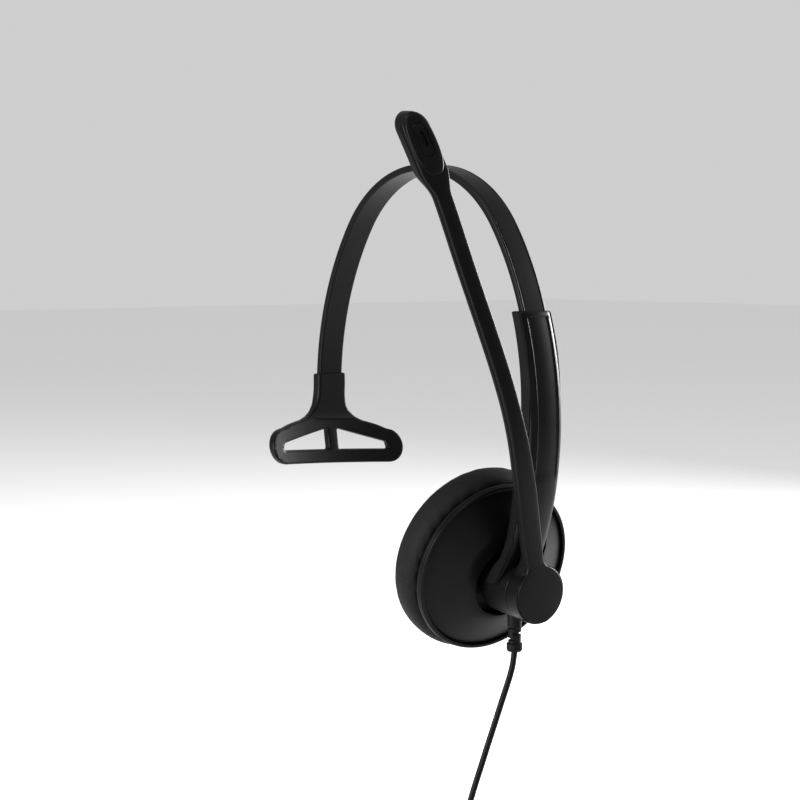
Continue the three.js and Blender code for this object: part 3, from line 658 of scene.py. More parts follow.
HUB = Place(to_mm(JOINTS["boom_swing"]["pos_m"]), Vector(JOINTS["boom_swing"]["axis"]))
BALL = to_mm(JOINTS["cup_tilt"]["pos_m"])
CUP_AXIS = Vector(JOINTS["cup_tilt"]["axis"]).cross(Vector(JOINTS["cup_swivel"]["axis"]))
CUP = Place(Vector((34.1, 0, 6.4)), CUP_AXIS)
BAND_CENTRE = to_mm(JOINTS["extension"]["pos_m"])


# ---------------------------------------------------------------- studio


@dataclass(frozen=True)
class Softbox:
    """A square soft lamp: its place and side in metres, and its power in watts."""

    name: str
    place: tuple[float, float, float]
    side: float
    power: float


@dataclass
class Studio:
    """The camera, the floor and the soft lights round the headset."""

    look_at: tuple[float, float, float] = (-15.5, 0.0, 60.8)
    direction: tuple[float, float, float] = (0.7637, -0.6408, 0.0785)
    distance: float = 650
    lens: float = 81
    floor_z: float = -190
    floor_half: float = 9.0
    white: tuple[float, float, float] = (0.93, 0.93, 0.93)
    sky: float = 0.62
    lamps: tuple[Softbox, ...] = (
        Softbox("left key", (-0.25, -1.45, 0.35), 0.6, 42),
        Softbox("right edge", (0.05, 1.5, 0.35), 0.5, 48),
        Softbox("top", (0.35, -0.5, 1.5), 0.6, 14),
    )

    def camera(self) -> None:
        """Adds the camera and makes it the scene's."""
        data = bpy.data.cameras.new("camera")
        data.lens = self.lens
        data.sensor_width = 36
        data.clip_end = 30
        camera = bpy.data.objects.new("camera", data)
        bpy.context.scene.collection.objects.link(camera)
        heading = Vector(self.direction).normalized()
        camera.location = (Vector(self.look_at) + heading * self.distance) * MM
        camera.rotation_euler = (-heading).to_track_quat("-Z", "Y").to_euler()
        bpy.context.scene.camera = camera

    def floor(self) -> None:
        """Adds a plain pale floor."""
        mesh = bmesh.new()
        bmesh.ops.create_grid(mesh, x_segments=4, y_segments=4, size=self.floor_half)
        bmesh.ops.translate(mesh, verts=mesh.verts, vec=(0, 0, self.floor_z * MM))
        data = bpy.data.meshes.new("floor")
        mesh.to_mesh(data)
        mesh.free()
        floor = bpy.data.objects.new("floor", data)
        bpy.context.scene.collection.objects.link(floor)
        graph = Graph("floor paint")
        graph.feed(graph.shader, {"Base Color": (*self.white, 1), "Roughness": 0.9})
        data.materials.append(graph.material)

    def light(self, softbox: Softbox) -> None:
        """Adds a softbox that faces the headset."""
        data = bpy.data.lights.new(softbox.name, "AREA")
        data.size = softbox.side
        data.energy = softbox.power
        lamp = bpy.data.objects.new(softbox.name, data)
        bpy.context.scene.collection.objects.link(lamp)
        lamp.location = softbox.place
        aim = Vector(self.look_at) * MM - Vector(softbox.place)
        lamp.rotation_euler = aim.to_track_quat("-Z", "Y").to_euler()

    def lights(self) -> None:
        """Adds the softboxes and the pale surroundings."""
        for softbox in self.lamps:
            self.light(softbox)
        world = bpy.data.worlds.new("surroundings")
        world.use_nodes = True
        background = world.node_tree.nodes["Background"]
        background.inputs["Color"].default_value = (1, 1, 1, 1)
        background.inputs["Strength"].default_value = self.sky
        bpy.context.scene.world = world
        bpy.context.scene.view_settings.view_transform = "Standard"

    def build(self) -> None:
        """Sets up everything but the camera."""
        self.floor()
        self.lights()


# ---------------------------------------------------------------- cord


@dataclass
class Cord(SubAssembly):
    """The cord with its storage coil, its tie and its plug."""

    diameter: float = 2.2
    start: tuple[float, float, float] = (43.805, 1.028, -21.524)
    run: tuple[tuple[float, float, float], ...] = (
        (43.7, 0.0, -27.0),
        (42.6, -4.5, -40.0),
        (41.0, -10.5, -57.0),
        (40.2, -16.5, -73.0),
    )
    coil_centre: tuple[float, float, float] = (21.5, -17.0, -104.0)
    coil_radius: float = 18.3
    layers: int = 4
    pitch: float = 2.3
    tail: float = 14
    points_a_turn: int = 16
    length: float = 1.82

    @property
    def edge(self) -> float:
        """From the middle of the coil's section to its outermost turns."""
        return (self.layers - 1) * self.pitch / 2

    @property
    def meet(self) -> float:
        """How far above the coil's middle the straight cord meets it."""
        outer = self.coil_radius + self.layers * self.pitch / 2
        return math.sqrt(outer**2 - (self.coil_radius - self.diameter / 2) ** 2)

    def lead_in(self) -> list[Vector]:
        """The hanging run from the strain relief to the coil."""
        centre = Vector(self.coil_centre)
        knots = [Vector(self.start), *(Vector(point) for point in self.run)]
        knots.append(centre + Vector((self.coil_radius, -self.edge, self.meet + 0.3)))
        return centripetal(knots, 6)

    def turns(self) -> list[Vector]:
        """The coil's turns, from its first outermost turn to its last."""
        centre = Vector(self.coil_centre)
        count = self.layers**2
        enter, leave = math.radians(20), math.radians(-20)
        sweep = (count - 1) * 2 * math.pi + enter - leave
        steps = round(sweep / (2 * math.pi) * self.points_a_turn)
        points = []
        for step in range(steps + 1):
            swept = sweep * step / steps
            radius, side = self.layer(swept / (2 * math.pi))
            turn = enter - swept
            points.append(centre + Vector((radius * math.cos(turn), side, radius * math.sin(turn))))
        return points

    def layer(self, turns: float) -> tuple[float, float]:
        """The radius and the sideways place after some turns, each change made late in a turn."""
        whole = min(int(turns), self.layers**2 - 1)
        share = smoothstep(turns - whole, 0.7, 1.0)
        here, following = self.cell(whole), self.cell(min(whole + 1, self.layers**2 - 1))
        radius = here[0] + (following[0] - here[0]) * share
        side = here[1] + (following[1] - here[1]) * share
        return radius, side

    def cell(self, number: int) -> tuple[float, float]:
        """The radius and sideways place of one turn: out to in, then in to out."""
        column, row = divmod(number, self.layers)
        depth = row if column % 2 == 0 else self.layers - 1 - row
        return (
            self.coil_radius + self.edge - depth * self.pitch,
            -self.edge + column * self.pitch,
        )

    def lead_out(self) -> list[Vector]:
        """The straight tail from the coil to the plug."""
        centre = Vector(self.coil_centre)
        top = centre + Vector((self.coil_radius, self.edge, -self.meet - 0.3))
        return [top - Vector((0, 0, self.tail * i / 4)) for i in range(5)]

    def build(self) -> None:
        """Lays the cord, its tie and its plug."""
        points = self.lead_in() + self.turns() + self.lead_out()
        curve = bpy.data.curves.new("cord", "CURVE")
        curve.dimensions = "3D"
        curve.bevel_depth = self.diameter / 2 * MM
        curve.bevel_resolution = 3
        curve.resolution_u = 3
        curve.use_fill_caps = True
        spline = curve.splines.new("BEZIER")
        spline.bezier_points.add(len(points) - 1)
        for knot, point in zip(spline.bezier_points, points):
            knot.co = point * MM
            knot.handle_left_type = knot.handle_right_type = "AUTO"
        cord = bpy.data.objects.new("cord", curve)
        bpy.context.scene.collection.objects.link(cord)
        self.mount(cord, Finish.JACKET, "arm", ("cord_run", "cord_coil", "cord_tail"))
        ends = {
            "cord_tie": Finish.RUBBER,
            "plug_grip": Finish.SATIN,
            "plug_shell": Finish.STEEL,
            "plug_tongue": Finish.TONGUE,
        }
        self.dress(ends)


def centripetal(knots: Sequence[Vector], steps: int) -> list[Vector]:
    """Points on a centripetal Catmull-Rom line through knots, some steps to each span."""
    before = knots[0] * 2 - knots[1]
    after = knots[-1] * 2 - knots[-2]
    line = [before, *knots, after]
    points = []
    for a, b, c, d in zip(line, line[1:], line[2:], line[3:]):
        first, middle, last = (max((q - p).length, 1e-6) ** 0.5 for p, q in ((a, b), (b, c), (c, d)))
        leave = ((b - a) / first - (c - a) / (first + middle) + (c - b) / middle) * middle
        arrive = ((c - b) / middle - (d - b) / (middle + last) + (d - c) / last) * middle
        for step in range(steps):
            points.append(hermite(b, leave, c, arrive, step / steps))
    return [*points, knots[-1]]


# ---------------------------------------------------------------- headband


@dataclass
class Headband(SubAssembly):
    """The slim sprung band over the head."""

    width: float = 10.5
    thickness: float = 2.4
    crown_radius: float = 48
    side_radius: float = 105.6
    crown_angle: float = 55
    crown_centre_z: float = 96.6
    rest_end_z: float = 56
    arm_end_z: float = 42
    groove_inset: float = 1.0
    groove_depth: float = 0.22

    def section(self) -> list[Point]:
        """The band's section (out, across): a shallow groove runs beside each edge."""
        out, half = self.thickness / 2, self.width / 2
        inner = half - self.groove_inset
        top = [
            (out - self.groove_depth, inner), (out, inner + 0.3), (out, half - 0.5),
            (out - 0.12, half - 0.2), (out - 0.45, half),
        ]
        low = [(-out + 0.45, half), (-out + 0.12, half - 0.2), (-out, half - 0.5), (-out, inner)]
        right = [(out - 0.04, inner - 0.35), *top, *low]
        return right + [(x, -y) for x, y in reversed(right)]

    def line(self) -> list[tuple[Vector, Vector]]:
        """Places on the band's outer face, each with the way out from there."""
        side, crown = self.side_radius, self.crown_radius
        turn = math.radians(90 - self.crown_angle)
        cx, cz = BAND_CENTRE.x, BAND_CENTRE.z
        rest_end = math.pi - math.asin((self.rest_end_z - cz) / side)
        arm_end = math.asin((self.arm_end_z - cz) / side)
        arcs = (
            (-cx, cz, side, rest_end, math.pi - turn, 24),
            (0.0, self.crown_centre_z, crown, math.pi - turn, turn, 56),
            (cx, cz, side, turn, arm_end, 30),
        )
        places = []
        for x, z, radius, start, end, steps in arcs:
            for step in range(0 if not places else 1, steps + 1):
                angle = start + (end - start) * step / steps
                out = Vector((math.cos(angle), 0, math.sin(angle)))
                places.append((Vector((x, 0, z)) + out * radius, out))
        return places

    def build(self) -> None:
        """Makes the sheath; the spring inside it stays as it is."""
        section = self.section()
        rings = [
            [place + out * (x - self.thickness / 2) + Vector((0, y, 0)) for x, y in section]
            for place, out in self.line()
        ]
        self.show(loft(rings), "band_sheath", Finish.SHEATH, "band", ("headband_sheath",))
        self.dress({"headband_spring": Finish.SPRING})


# ---------------------------------------------------------------- temple rest


@dataclass
class TempleRest(SubAssembly):
    """The rest that lies on the far temple."""

    collar_top_z: float = 68.5
    collar_half: float = 6.4
    collar_depth: float = 2.2
    thickness: float = 3.2
    half_length: float = 31
    bottom_z: float = 35
    end_radius: float = 6.4
    bar: float = 5
    strut_half: float = 2.3
    lean: float = 5
    wing_radius: float = 125
    roll: float = 3
    edge: float = 0.7

    def warp(self, place: Vector) -> Vector:
        """Leans the foot in, curves the wings round the temple and rolls the rest a little."""
        reach = self.collar_top_z - 7 - self.bottom_z
        drop = max(0.0, self.collar_top_z - 7 - place.z)
        below = self.collar_top_z - place.z
        face_x = Headband.thickness / 2 - SliderArm.band_x(self.collar_top_z - 4, 0)
        curl = place.y**2 / (2 * self.wing_radius)
        x = face_x + place.x + self.lean * (drop / reach) ** 1.5 + curl
        turn = math.radians(self.roll) * smoothstep(below, 3, 13)
        return Vector((
            x,
            place.y * math.cos(turn) - below * math.sin(turn),
            self.collar_top_z - below * math.cos(turn) - place.y * math.sin(turn),
        ))

    def outline(self) -> list[Point]:
        """The plate's outline (y, z), from the right of its neck round to the left."""
        tip = self.half_length - self.end_radius
        wing_z = self.bottom_z + 2 * self.end_radius
        heights = (57.0, 56.2, 55.4, 54.6, 53.8, 53.0, 52.3, 51.7, 51.2, 50.75, 50.4)
        half = [(self.neck(z), z) for z in heights]
        half += bezier(((17, 50.2), (20.3, 49.5), (22.5, 48.7), (tip, wing_z)), 6)
        for i in range(1, 15):
            turn = math.pi / 2 - math.pi * i / 15
            half.append((
                tip + self.end_radius * math.cos(turn),
                self.bottom_z + self.end_radius + self.end_radius * math.sin(turn),
            ))
        half += [(tip, self.bottom_z), (tip / 2, self.bottom_z)]
        return half + [(-y, z) for y, z in reversed(half)]

    def neck(self, z: float) -> float:
        """Half of the neck's width at a height."""
        flare = bezier(((self.collar_half, 62), (self.collar_half, 55), (10, 51.5), (17, 50.2)), 60)
        if z >= 62:
            return self.collar_half
        return next(y for y, height in flare if height <= z + 1e-6)

    def window(self, side: int) -> list[Point]:
        """One window's outline (y, z), with rounded corners."""
        low, far = self.bottom_z + self.bar, self.half_length - 6.5
        near = self.strut_half
        corners = ((near, low), (far + 0.6, low), (far, low + 2.6), (near, low + 7.8))
        points = []
        for i, corner in enumerate(corners):
            here = Vector(corner)
            before = (Vector(corners[i - 1]) - here).normalized()
            after = (Vector(corners[(i + 1) % 4]) - here).normalized()
            for step in range(5):
                t = step / 4
                points.append((here + before * 0.9 * (1 - t) ** 2 + after * 0.9 * t**2)[:])
        return [(side * y, z) for y, z in points]

    def plate(self) -> BMesh:
        """The plate with its two windows and its rounded edges."""
        loops = (self.outline(), self.window(1), self.window(-1))
        half, r = self.thickness / 2, self.edge
        steps = [
            (-half, r), (-half + r * 0.3, r * 0.3), (-half + r, 0),
            (half - r, 0), (half - r * 0.3, r * 0.3), (half, r),
        ]
        mesh = bmesh.new()
        for number, loop in enumerate(loops):
            inward = 1 if number == 0 else -1
            rings = []
            for x, inset in steps:
                ring = shrunk(loop, inset * inward)
                rings.append([Vector((x, y, z)) for y, z in ring])
            add(mesh, loft(rings, caps=False))
        for x in (-half, half):
            edges = [e for e in mesh.edges if e.is_boundary and abs(e.verts[0].co.x - x) < 1e-4]
            bmesh.ops.triangle_fill(mesh, use_beauty=True, edges=edges, normal=(1, 0, 0))
        cut_up(mesh, "Z", rows(36, 56, 1.6))
        cut_up(mesh, "Y", rows(-29, 29, 2.4))
        bmesh.ops.recalc_face_normals(mesh, faces=mesh.faces)
        move(mesh, self.warp)
        return mesh

    def collar(self) -> BMesh:
        """The collar with its socket for the band's end."""
        rings = []
        socket = (Headband.thickness / 2 + 0.3, Headband.width / 2 + 0.3)
        top = self.collar_top_z
        for z, x, y, r in (
            (57, *socket, 0.5), (top - 0.5, *socket, 0.5),
            (top, socket[0] + 0.15, socket[1] + 0.15, 0.6),
            (top, self.collar_depth - 0.5, self.collar_half - 0.5, 0.9),
            (top - 0.15, self.collar_depth - 0.2, self.collar_half - 0.2, 1.0),
            (top - 0.5, self.collar_depth, self.collar_half, 1.1),
        ):
            rings.append([Vector((a, b, z)) for a, b in rounded_box(x, y, r)])
        for z in rows(66, 51.6, 0.8):
            thin = 0.62 * smoothstep(-z, -60, -52.5)
            x = self.collar_depth - thin
            y = self.neck(z) - 0.1 * smoothstep(-z, -60, -54) - 0.5 * smoothstep(-z, -54, -51.6)
            rings.append([Vector((a, b, z)) for a, b in rounded_box(x, y, 1.1)])
        mesh = loft(rings)
        move(mesh, self.warp)
        return mesh

    def build(self) -> None:
        """Makes the rest's plate and its collar."""
        self.show(self.plate(), "rest", Finish.SATIN, "band", ("temple_rest",), sharp=30)
        self.show(self.collar(), "rest_collar", Finish.SATIN, "band")


# ---------------------------------------------------------------- slider arm


@dataclass
class SliderArm(SubAssembly):
    """The arm that slides down the band, with the still half of the hub at its foot."""

    top_z: float = 94.5
    wall: float = 1.5
    outer_radius: float = 118
    outer_centre: tuple[float, float] = (-56.9, 57.0)
    crown: float = 24
    recess_half: float = 4.7
    recess_depth: float = 0.35
    hub_radius: float = 10
    outer_foot: Track = Track(((3, 47.2), (10.5, 50.6), (15.3, 52.9), (20.4, 54.95), (31, 58.2)))
    inner_foot: Track = Track((
        (3, 39.0), (9.2, 42.9), (11, 44.9), (13, 46.1), (16, 47.3), (21, 48.7), (30, 49.9), (40, 51.4),
    ))
    half_width: Track = Track((
        (0, 9.3), (3, 9.1), (12.3, 8.2), (21.1, 7.5), (31, 7.1), (40, 7.0), (96, 7.0),
    ))
    seam_foot: float = 51.6
    seam_gap: float = 0.45

    def outer_x(self, z: float) -> float:
        """The arm's outer face at a height."""
        if z < 31:
            return self.outer_foot.at(z)
        x, centre = self.outer_centre
        return x + math.sqrt(self.outer_radius**2 - (z - centre) ** 2)

    def inner_x(self, z: float) -> float:
        """The arm's inner face at a height."""
        if z < 40:
            return self.inner_foot.at(z)
        return self.band_x(z, Headband.thickness + 0.3 + self.wall)

    @staticmethod
    def band_x(z: float, inset: float) -> float:
        """The band's outer face at a height, some way inside it."""
        radius = Headband.side_radius - inset
        return BAND_CENTRE.x + math.sqrt(radius**2 - (z - BAND_CENTRE.z) ** 2)

    def recess(self, z: float) -> float:
        """How deep the panel in the outer face lies at a height."""
        ramp = smoothstep(z, 37.5, 42.5)
        return self.recess_depth * ramp * (1 - smoothstep(z, 92.4, 92.9))

    def split(self, z: float) -> float:
        """Where the cover meets the housing, as a distance out at a height."""
        if z > 42:
            return self.band_x(z, -self.seam_gap)
        rise = self.band_x(42, -self.seam_gap) - self.seam_foot
        return max(self.inner_x(z) + 1.2, self.seam_foot + rise * smoothstep(z, 14, 42))

    def ring(self, z: float, inset: float = 0.0) -> list[Vector]:
        """The arm's section at a height, from the middle of its outer face round to the same."""
        half = self.half_width.at(z) - inset
        outer, inner = self.outer_x(z) - inset, self.inner_x(z) + inset
        seam = min(self.split(z), outer - 1.2)
        groove = 0.3 * smoothstep(z, 15, 18)
        panel, sunk = self.recess_half, self.recess(z)

        def face(y: float) -> float:
            """The crowned outer face."""
            return outer - y * y / (2 * self.crown)

        side = [
            (face(0) - sunk, 0.0), (face(2.4) - sunk, 2.4), (face(panel - 0.5) - sunk, panel - 0.5),
            (face(panel - 0.15) - sunk * 0.8, panel - 0.15), (face(panel + 0.2), panel + 0.2),
            (face(half - 1.1), half - 1.1), (face(half) - 0.3, half - 0.4), (face(half) - 0.9, half),
            (seam + 0.16, half), (seam + 0.1, half - groove), (seam - 0.1, half - groove),
            (seam - 0.16, half), (inner + 0.8, half), (inner + 0.25, half - 0.25),
            (inner, half - 0.8), (inner, half * 0.4),
        ]
        loop = side + [(inner, 0.0)] + [(x, -y) for x, y in reversed(side[1:])]
        return [Vector((x, y, z)) for x, y in loop]

    def channel(self, z: float) -> list[Vector]:
        """The wall of the band's channel at a height, point for point with a ring."""
        half = Headband.width / 2 + 0.3
        outer, inner = self.band_x(z, -0.3), self.band_x(z, Headband.thickness + 0.3)
        points = []
        for place in self.ring(z):
            x = min(outer, max(inner, place.x))
            points.append(Vector((x, min(half, max(-half, place.y)), z)))
        return points

    def foot(self) -> list[list[Vector]]:
        """The sections that run down onto the hub's round wall."""
        rings = []
        top, centre = 24.0, self.hub_radius - 0.7
        for step in range(1, 13):
            share = step / 12
            ring = []
            for place in self.ring(top + (5.0 - top) * share):
                rest_z = math.sqrt(max(0.2, centre**2 - place.y**2)) + 0.4
                z = top + (rest_z - top) * share
                here = self.ring(max(3.2, z))[len(ring)]
                ring.append(Vector((here.x, here.y, z)))
            rings.append(ring)
        return rings

    def arm(self) -> BMesh:
        """The arm from its channel, over its top rim and down to the hub."""
        top = self.top_z
        inside = [self.channel(z) for z in (44, 60, 76, 88, top - 0.5)]
        lip = [a.lerp(b, 0.35) for a, b in zip(self.channel(top), self.ring(top))]
        rim = [lip, self.ring(top - 0.15, 0.25)]
        stops = [
            94.0, 93.3, 92.9, 92.65, 92.4, 91.8,
            *rows(90, 44, 2.3), *rows(43.2, 37, 0.7), *rows(35, 24, 1.2),
        ]
        down = [self.ring(z) for z in stops]
        return loft([*inside, *rim, *down, *self.foot()])

    def hub(self) -> BMesh:
        """The still half of the hub: a round wall with a web, and a pocket at each end."""
        outer, pocket = self.hub_radius, self.hub_radius - 1.5
        profile = [
            (-20.3, pocket), (-20.3, outer - 0.5), (-20.15, outer - 0.15), (-19.8, outer),
            (-7.15, outer), (-6.9, outer - 0.1), (-6.8, outer - 0.35), (-6.8, pocket),
            (-8, pocket), (-8, 2.3), (-10, 2.3), (-10, pocket),
        ]
        return turned(profile, closed=True)

    def build(self) -> None:
        """Makes the arm and the hub, and dresses what is inside them."""
        self.show(self.arm(), "arm", Finish.SATIN, "arm", ("arm_housing", "arm_cover"))
        self.show(self.hub(), "hub", Finish.GLOSSIER, "arm", place=HUB.matrix())
        self.dress({
            "detent_spring": Finish.SPRING,
            "friction_washer": Finish.STEEL,
            "junction_board": Finish.BOARD,
            "ball_stud": Finish.SATIN,
        })


# ---------------------------------------------------------------- strain relief


@dataclass
class StrainRelief(SubAssembly):
    """The notched rubber sleeve where the cord leaves the hub."""

    exit: tuple[float, float, float] = (43.805, 1.028, -8.624)
    radius: float = 2.5
    collar: float = 3.1
    length: float = 12.6
    sleeve: float = 9.6
    steps: int = 40
    notch_starts: tuple[float, ...] = (-4.0, -6.0, -8.0)
    notch_height: float = 0.75
    notch_depth: float = 0.75
    side: tuple[float, float] = (0.643, 0.766)

    def build(self) -> None:
        """Makes the sleeve."""
        drops = (
            3.4, 2.6, *rows(0, -self.sleeve, 0.12),
            *rows(-self.sleeve - 0.3, -self.length + 0.3, 0.3), -self.length,
        )
        rings = [self.ring(drop) for drop in drops]
        middle = Vector(self.exit) - Vector((0, 0, self.length))
        rings.append([place.lerp(middle, 0.5) for place in rings[-1]])
        self.show(loft(rings), "relief", Finish.RUBBER, "arm", ("strain_relief",), sharp=32)

    def ring(self, drop: float) -> list[Vector]:
        """The sleeve's section at a height above the exit."""
        radius = self.radius - 0.3 * smoothstep(-drop, 0, self.sleeve)
        if drop > 1.0:
            radius = self.radius + 0.6
        if drop < -self.sleeve:
            radius = self.collar - 0.35 - 0.35 * smoothstep(-drop, 11.6, self.length) ** 2
        centre = Vector(self.exit) + Vector((0, 0, drop))
        points = []
        for step in range(self.steps):
            turn = 2 * math.pi * step / self.steps
            way = Vector((math.cos(turn), math.sin(turn), 0))
            points.append(centre + way * (radius - self.notch(drop, way)))
        return points

    def notch(self, drop: float, way: Vector) -> float:
        """How deep a notch cuts in at a height on one side."""
        for number, start in enumerate(self.notch_starts):
            if start - self.notch_height <= drop <= start:
                facing_left = -1 if number % 2 == 0 else 1
                share = (way.x * self.side[0] + way.y * self.side[1]) * facing_left
                return self.notch_depth * smoothstep(share, -0.35, -0.15)
        return 0.0


# ---------------------------------------------------------------- boom


@dataclass
class Boom(SubAssembly):
    """The turning half of the hub, the boom and the microphone at its end."""

    lean: float = 16
    cap_radius: float = 10.15
    skirt: float = 6.5
    cover: float = 0.9
    back: float = 3.1
    head_back: float = 4.8
    head_radius: float = 5.5
    head_centre: float = 157.0
    slot_centre: float = 153.6
    pad_rise: float = 0.75
    line: tuple[Point, ...] = (
        (-12, 0), (0, 0), (20, 1), (42, 2.6), (60, 2.4), (80, -1), (112, -10), (140, -18), (170, -31),
    )
    fillet: float = 5.0
    seam: float = 10.4
    slot: Point = (2.5, 10.8)

    def __post_init__(self) -> None:
        """Samples the boom's line once."""
        self.samples = self._sampled()

    def _sampled(self) -> list[Point]:
        """Points (along, out) on a uniform spline through the line's knots."""
        knots = [Vector(knot) for knot in self.line]
        ends = [knots[0], *knots, knots[-1]]
        places = []
        for a, b, c, d in zip(ends, ends[1:], ends[2:], ends[3:]):
            for step in range(40):
                t = step / 40
                point = 0.5 * (
                    2 * b + (c - a) * t + (2 * a - 5 * b + 4 * c - d) * t**2
                    + (3 * b - a - 3 * c + d) * t**3
                )
                places.append((point.x, point.y))
        return places

    def offset(self, along: float) -> float:
        """How far out the boom bends at a place along it."""
        if along < self.cap_radius:
            return 0.0
        return self._out(along) - self._out(self.cap_radius)

    def _out(self, along: float) -> float:
        """The line's distance out at a place along it."""
        for (x0, y0), (x1, y1) in zip(self.samples, self.samples[1:]):
            if x0 <= along <= x1:
                return y0 + (y1 - y0) * (along - x0) / max(1e-9, x1 - x0)
        return self.samples[-1][1]

    def half_width(self, along: float) -> float:
        """Half of the boom's width: fillets at the root, a slim middle, and the head."""
        width = 4.1 - 0.8 * smoothstep(along, 34, 70)
        width -= 0.5 * (1 - smoothstep(along, 8, 22))
        width += 2.2 * smoothstep(along, 135, 144)
        if along > self.head_centre:
            return math.sqrt(max(0.01, self.head_radius**2 - (along - self.head_centre) ** 2))
        reach = self.cap_radius + self.fillet
        middle = width + self.fillet
        end = math.sqrt(reach**2 - middle**2)
        if along < end * self.cap_radius / reach:
            return math.sqrt(max(0.01, self.cap_radius**2 - along**2))
        if along < end:
            return middle - math.sqrt(max(0.0, self.fillet**2 - (end - along) ** 2))
        return width

    def back_x(self, along: float) -> float:
        """The boom's back: deep at the hub, thin along the boom, thicker at the head."""
        hub = (self.skirt - self.back) * (1 - smoothstep(along, 8.5, 17))
        head = (self.head_back - self.back) * smoothstep(along, 138, 145)
        return -self.back - hub - head

    def bent(self, x: float, y: float, along: float) -> Vector:
        """A place on the straight boom, once it is bent."""
        return Vector((x + self.offset(along), y, along))

    def matrix(self) -> Matrix:
        """The boom's own frame, leaning forward from the hub's."""
        return HUB.matrix() @ Matrix.Rotation(math.radians(self.lean), 4, "X")

    def stops(self, start: float) -> list[float]:
        """Places along the boom, closer where its outline changes."""
        turns = [math.pi / 32 * step for step in range(1, 16)]
        near_tip = [self.head_centre + self.head_radius * math.sin(turn) for turn in turns]
        return [
            *rows(start, 22, 0.6), *rows(24, 133, 3.2), *rows(134.5, 147, 0.8),
            *rows(148.5, self.head_centre, 1.6), *near_tip,
        ]

    def shell(self) -> BMesh:
        """The shell: the boom's back and sides."""
        rings = []
        for along in self.stops(8.4):
            half, back = self.half_width(along), self.back_x(along)
            front, r = -self.cover - 0.3, min(0.75, half * 0.4)
            side = [
                (front, half * 0.5), (front, half - 0.75), (front - 0.08, half - 0.5),
                (front - 0.5, half - 0.06), (front - 0.75, half), (back + r, half),
                (back + r * 0.3, half - r * 0.3), (back, half - r), (back, half * 0.4),
            ]
            loop = side + [(x, -y) for x, y in reversed(side)]
            rings.append([self.bent(x, y, along) for x, y in loop])
        return loft(rings)

    def facing(self) -> BMesh:
        """The face: a disc over the pivot that runs on as a crowned strip, seamed at its neck."""
        inset = 0.42
        r = self.cap_radius
        round_start = [-(r - inset) * math.cos(a * math.pi / 36) for a in range(1, 18)]
        seam = [self.seam + side for side in (-0.2, -0.1, 0, 0.1, 0.2)]
        stops = sorted({*round_start, *rows(0, 8, 1.0), *self.stops(8.4), *seam})
        rings = []
        for along in stops:
            half = self.half_width(along) - inset
            if along < 0:
                half = math.sqrt(max(0.02, (r - inset) ** 2 - along**2))
            half = max(0.08, half)
            crown = min(0.3, 0.05 + half * 0.03)
            sunk = 0.12 * max(0.0, 1 - abs(along - self.seam) / 0.12)
            low, edge = -self.cover - 0.35, min(0.5, half * 0.4)
            side = [
                (0.1 - sunk, 0.0), (0.1 - crown * 0.25 - sunk, half * 0.5),
                (0.1 - crown - sunk, half - edge), (-crown - 0.05, half - edge * 0.4),
                (-crown - 0.35, half), (low, half),
            ]
            loop = side + [(x, -y) for x, y in reversed(side[1:])]
            rings.append([self.bent(x, y, along) for x, y in loop])
        return loft(rings)

    def pad_ring(self, share: float, x: float, half: float, length: float) -> list[Vector]:
        """A ring of the microphone's pad.

        Args:
            share: 0 for the head's outline, 1 for the slot's.
            x: its height.
            half: the slot's half-width.
            length: the slot's length.

        Returns:
            The ring's points.
        """
        points = []
        low, high = 142.6, self.head_centre + self.head_radius - 0.6
        middle, reach = (low + high) / 2, (high - low) / 2
        wide = self.head_radius - 0.6
        straight = length / 2 - half
        for step in range(64):
            turn = 2 * math.pi * (step + 0.5) / 64
            c, s = math.cos(turn), math.sin(turn)
            outer = (
                math.copysign(abs(c) ** 0.62, c) * wide,
                middle + math.copysign(abs(s) ** 0.9, s) * reach,
            )
            inner = (half * c, self.slot_centre + half * s + math.copysign(straight, s))
            y = outer[0] + (inner[0] - outer[0]) * share
            along = outer[1] + (inner[1] - outer[1]) * share
            points.append(self.bent(x, y, along))
        return points

    def pad(self) -> BMesh:
        """The raised, crowned pad round the microphone's bezel."""
        top = self.pad_rise
        steps = (
            (0, -0.5), (0, 0.1), (0.06, 0.35), (0.16, 0.5), (0.32, top - 0.16),
            (0.6, top - 0.05), (0.94, top), (1, top - 0.1), (1, -0.4),
        )
        return loft([self.pad_ring(share, x, *self.slot) for share, x in steps])

    def bezel(self) -> BMesh:
        """The insert with its slot."""
        top = self.pad_rise - 0.02
        steps = (
            (-0.3, 2.32, 10.44), (top - 0.15, 2.32, 10.44), (top, 2.17, 10.14), (top, 1.15, 5.8),
            (top - 0.15, 0.98, 5.3), (-0.3, 0.95, 5.2),
        )
        return loft([self.pad_ring(1, x, half, length) for x, half, length in steps], joined=True)

    def skirt_ring(self) -> BMesh:
        """The skirt round the pivot, with a thin lip round the cap."""
        r = self.cap_radius
        profile = [
            (-6.5, r - 1.5), (-6.5, r - 0.3), (-6.42, r - 0.08), (-6.2, r), (-0.95, r),
            (-0.72, r - 0.05), (-0.66, r - 0.18), (-0.72, r - 0.28), (-1.2, r - 0.3), (-1.2, 2.3),
            (-2.9, 2.3), (-2.9, r - 1.5),
        ]
        return turned(profile, closed=True)

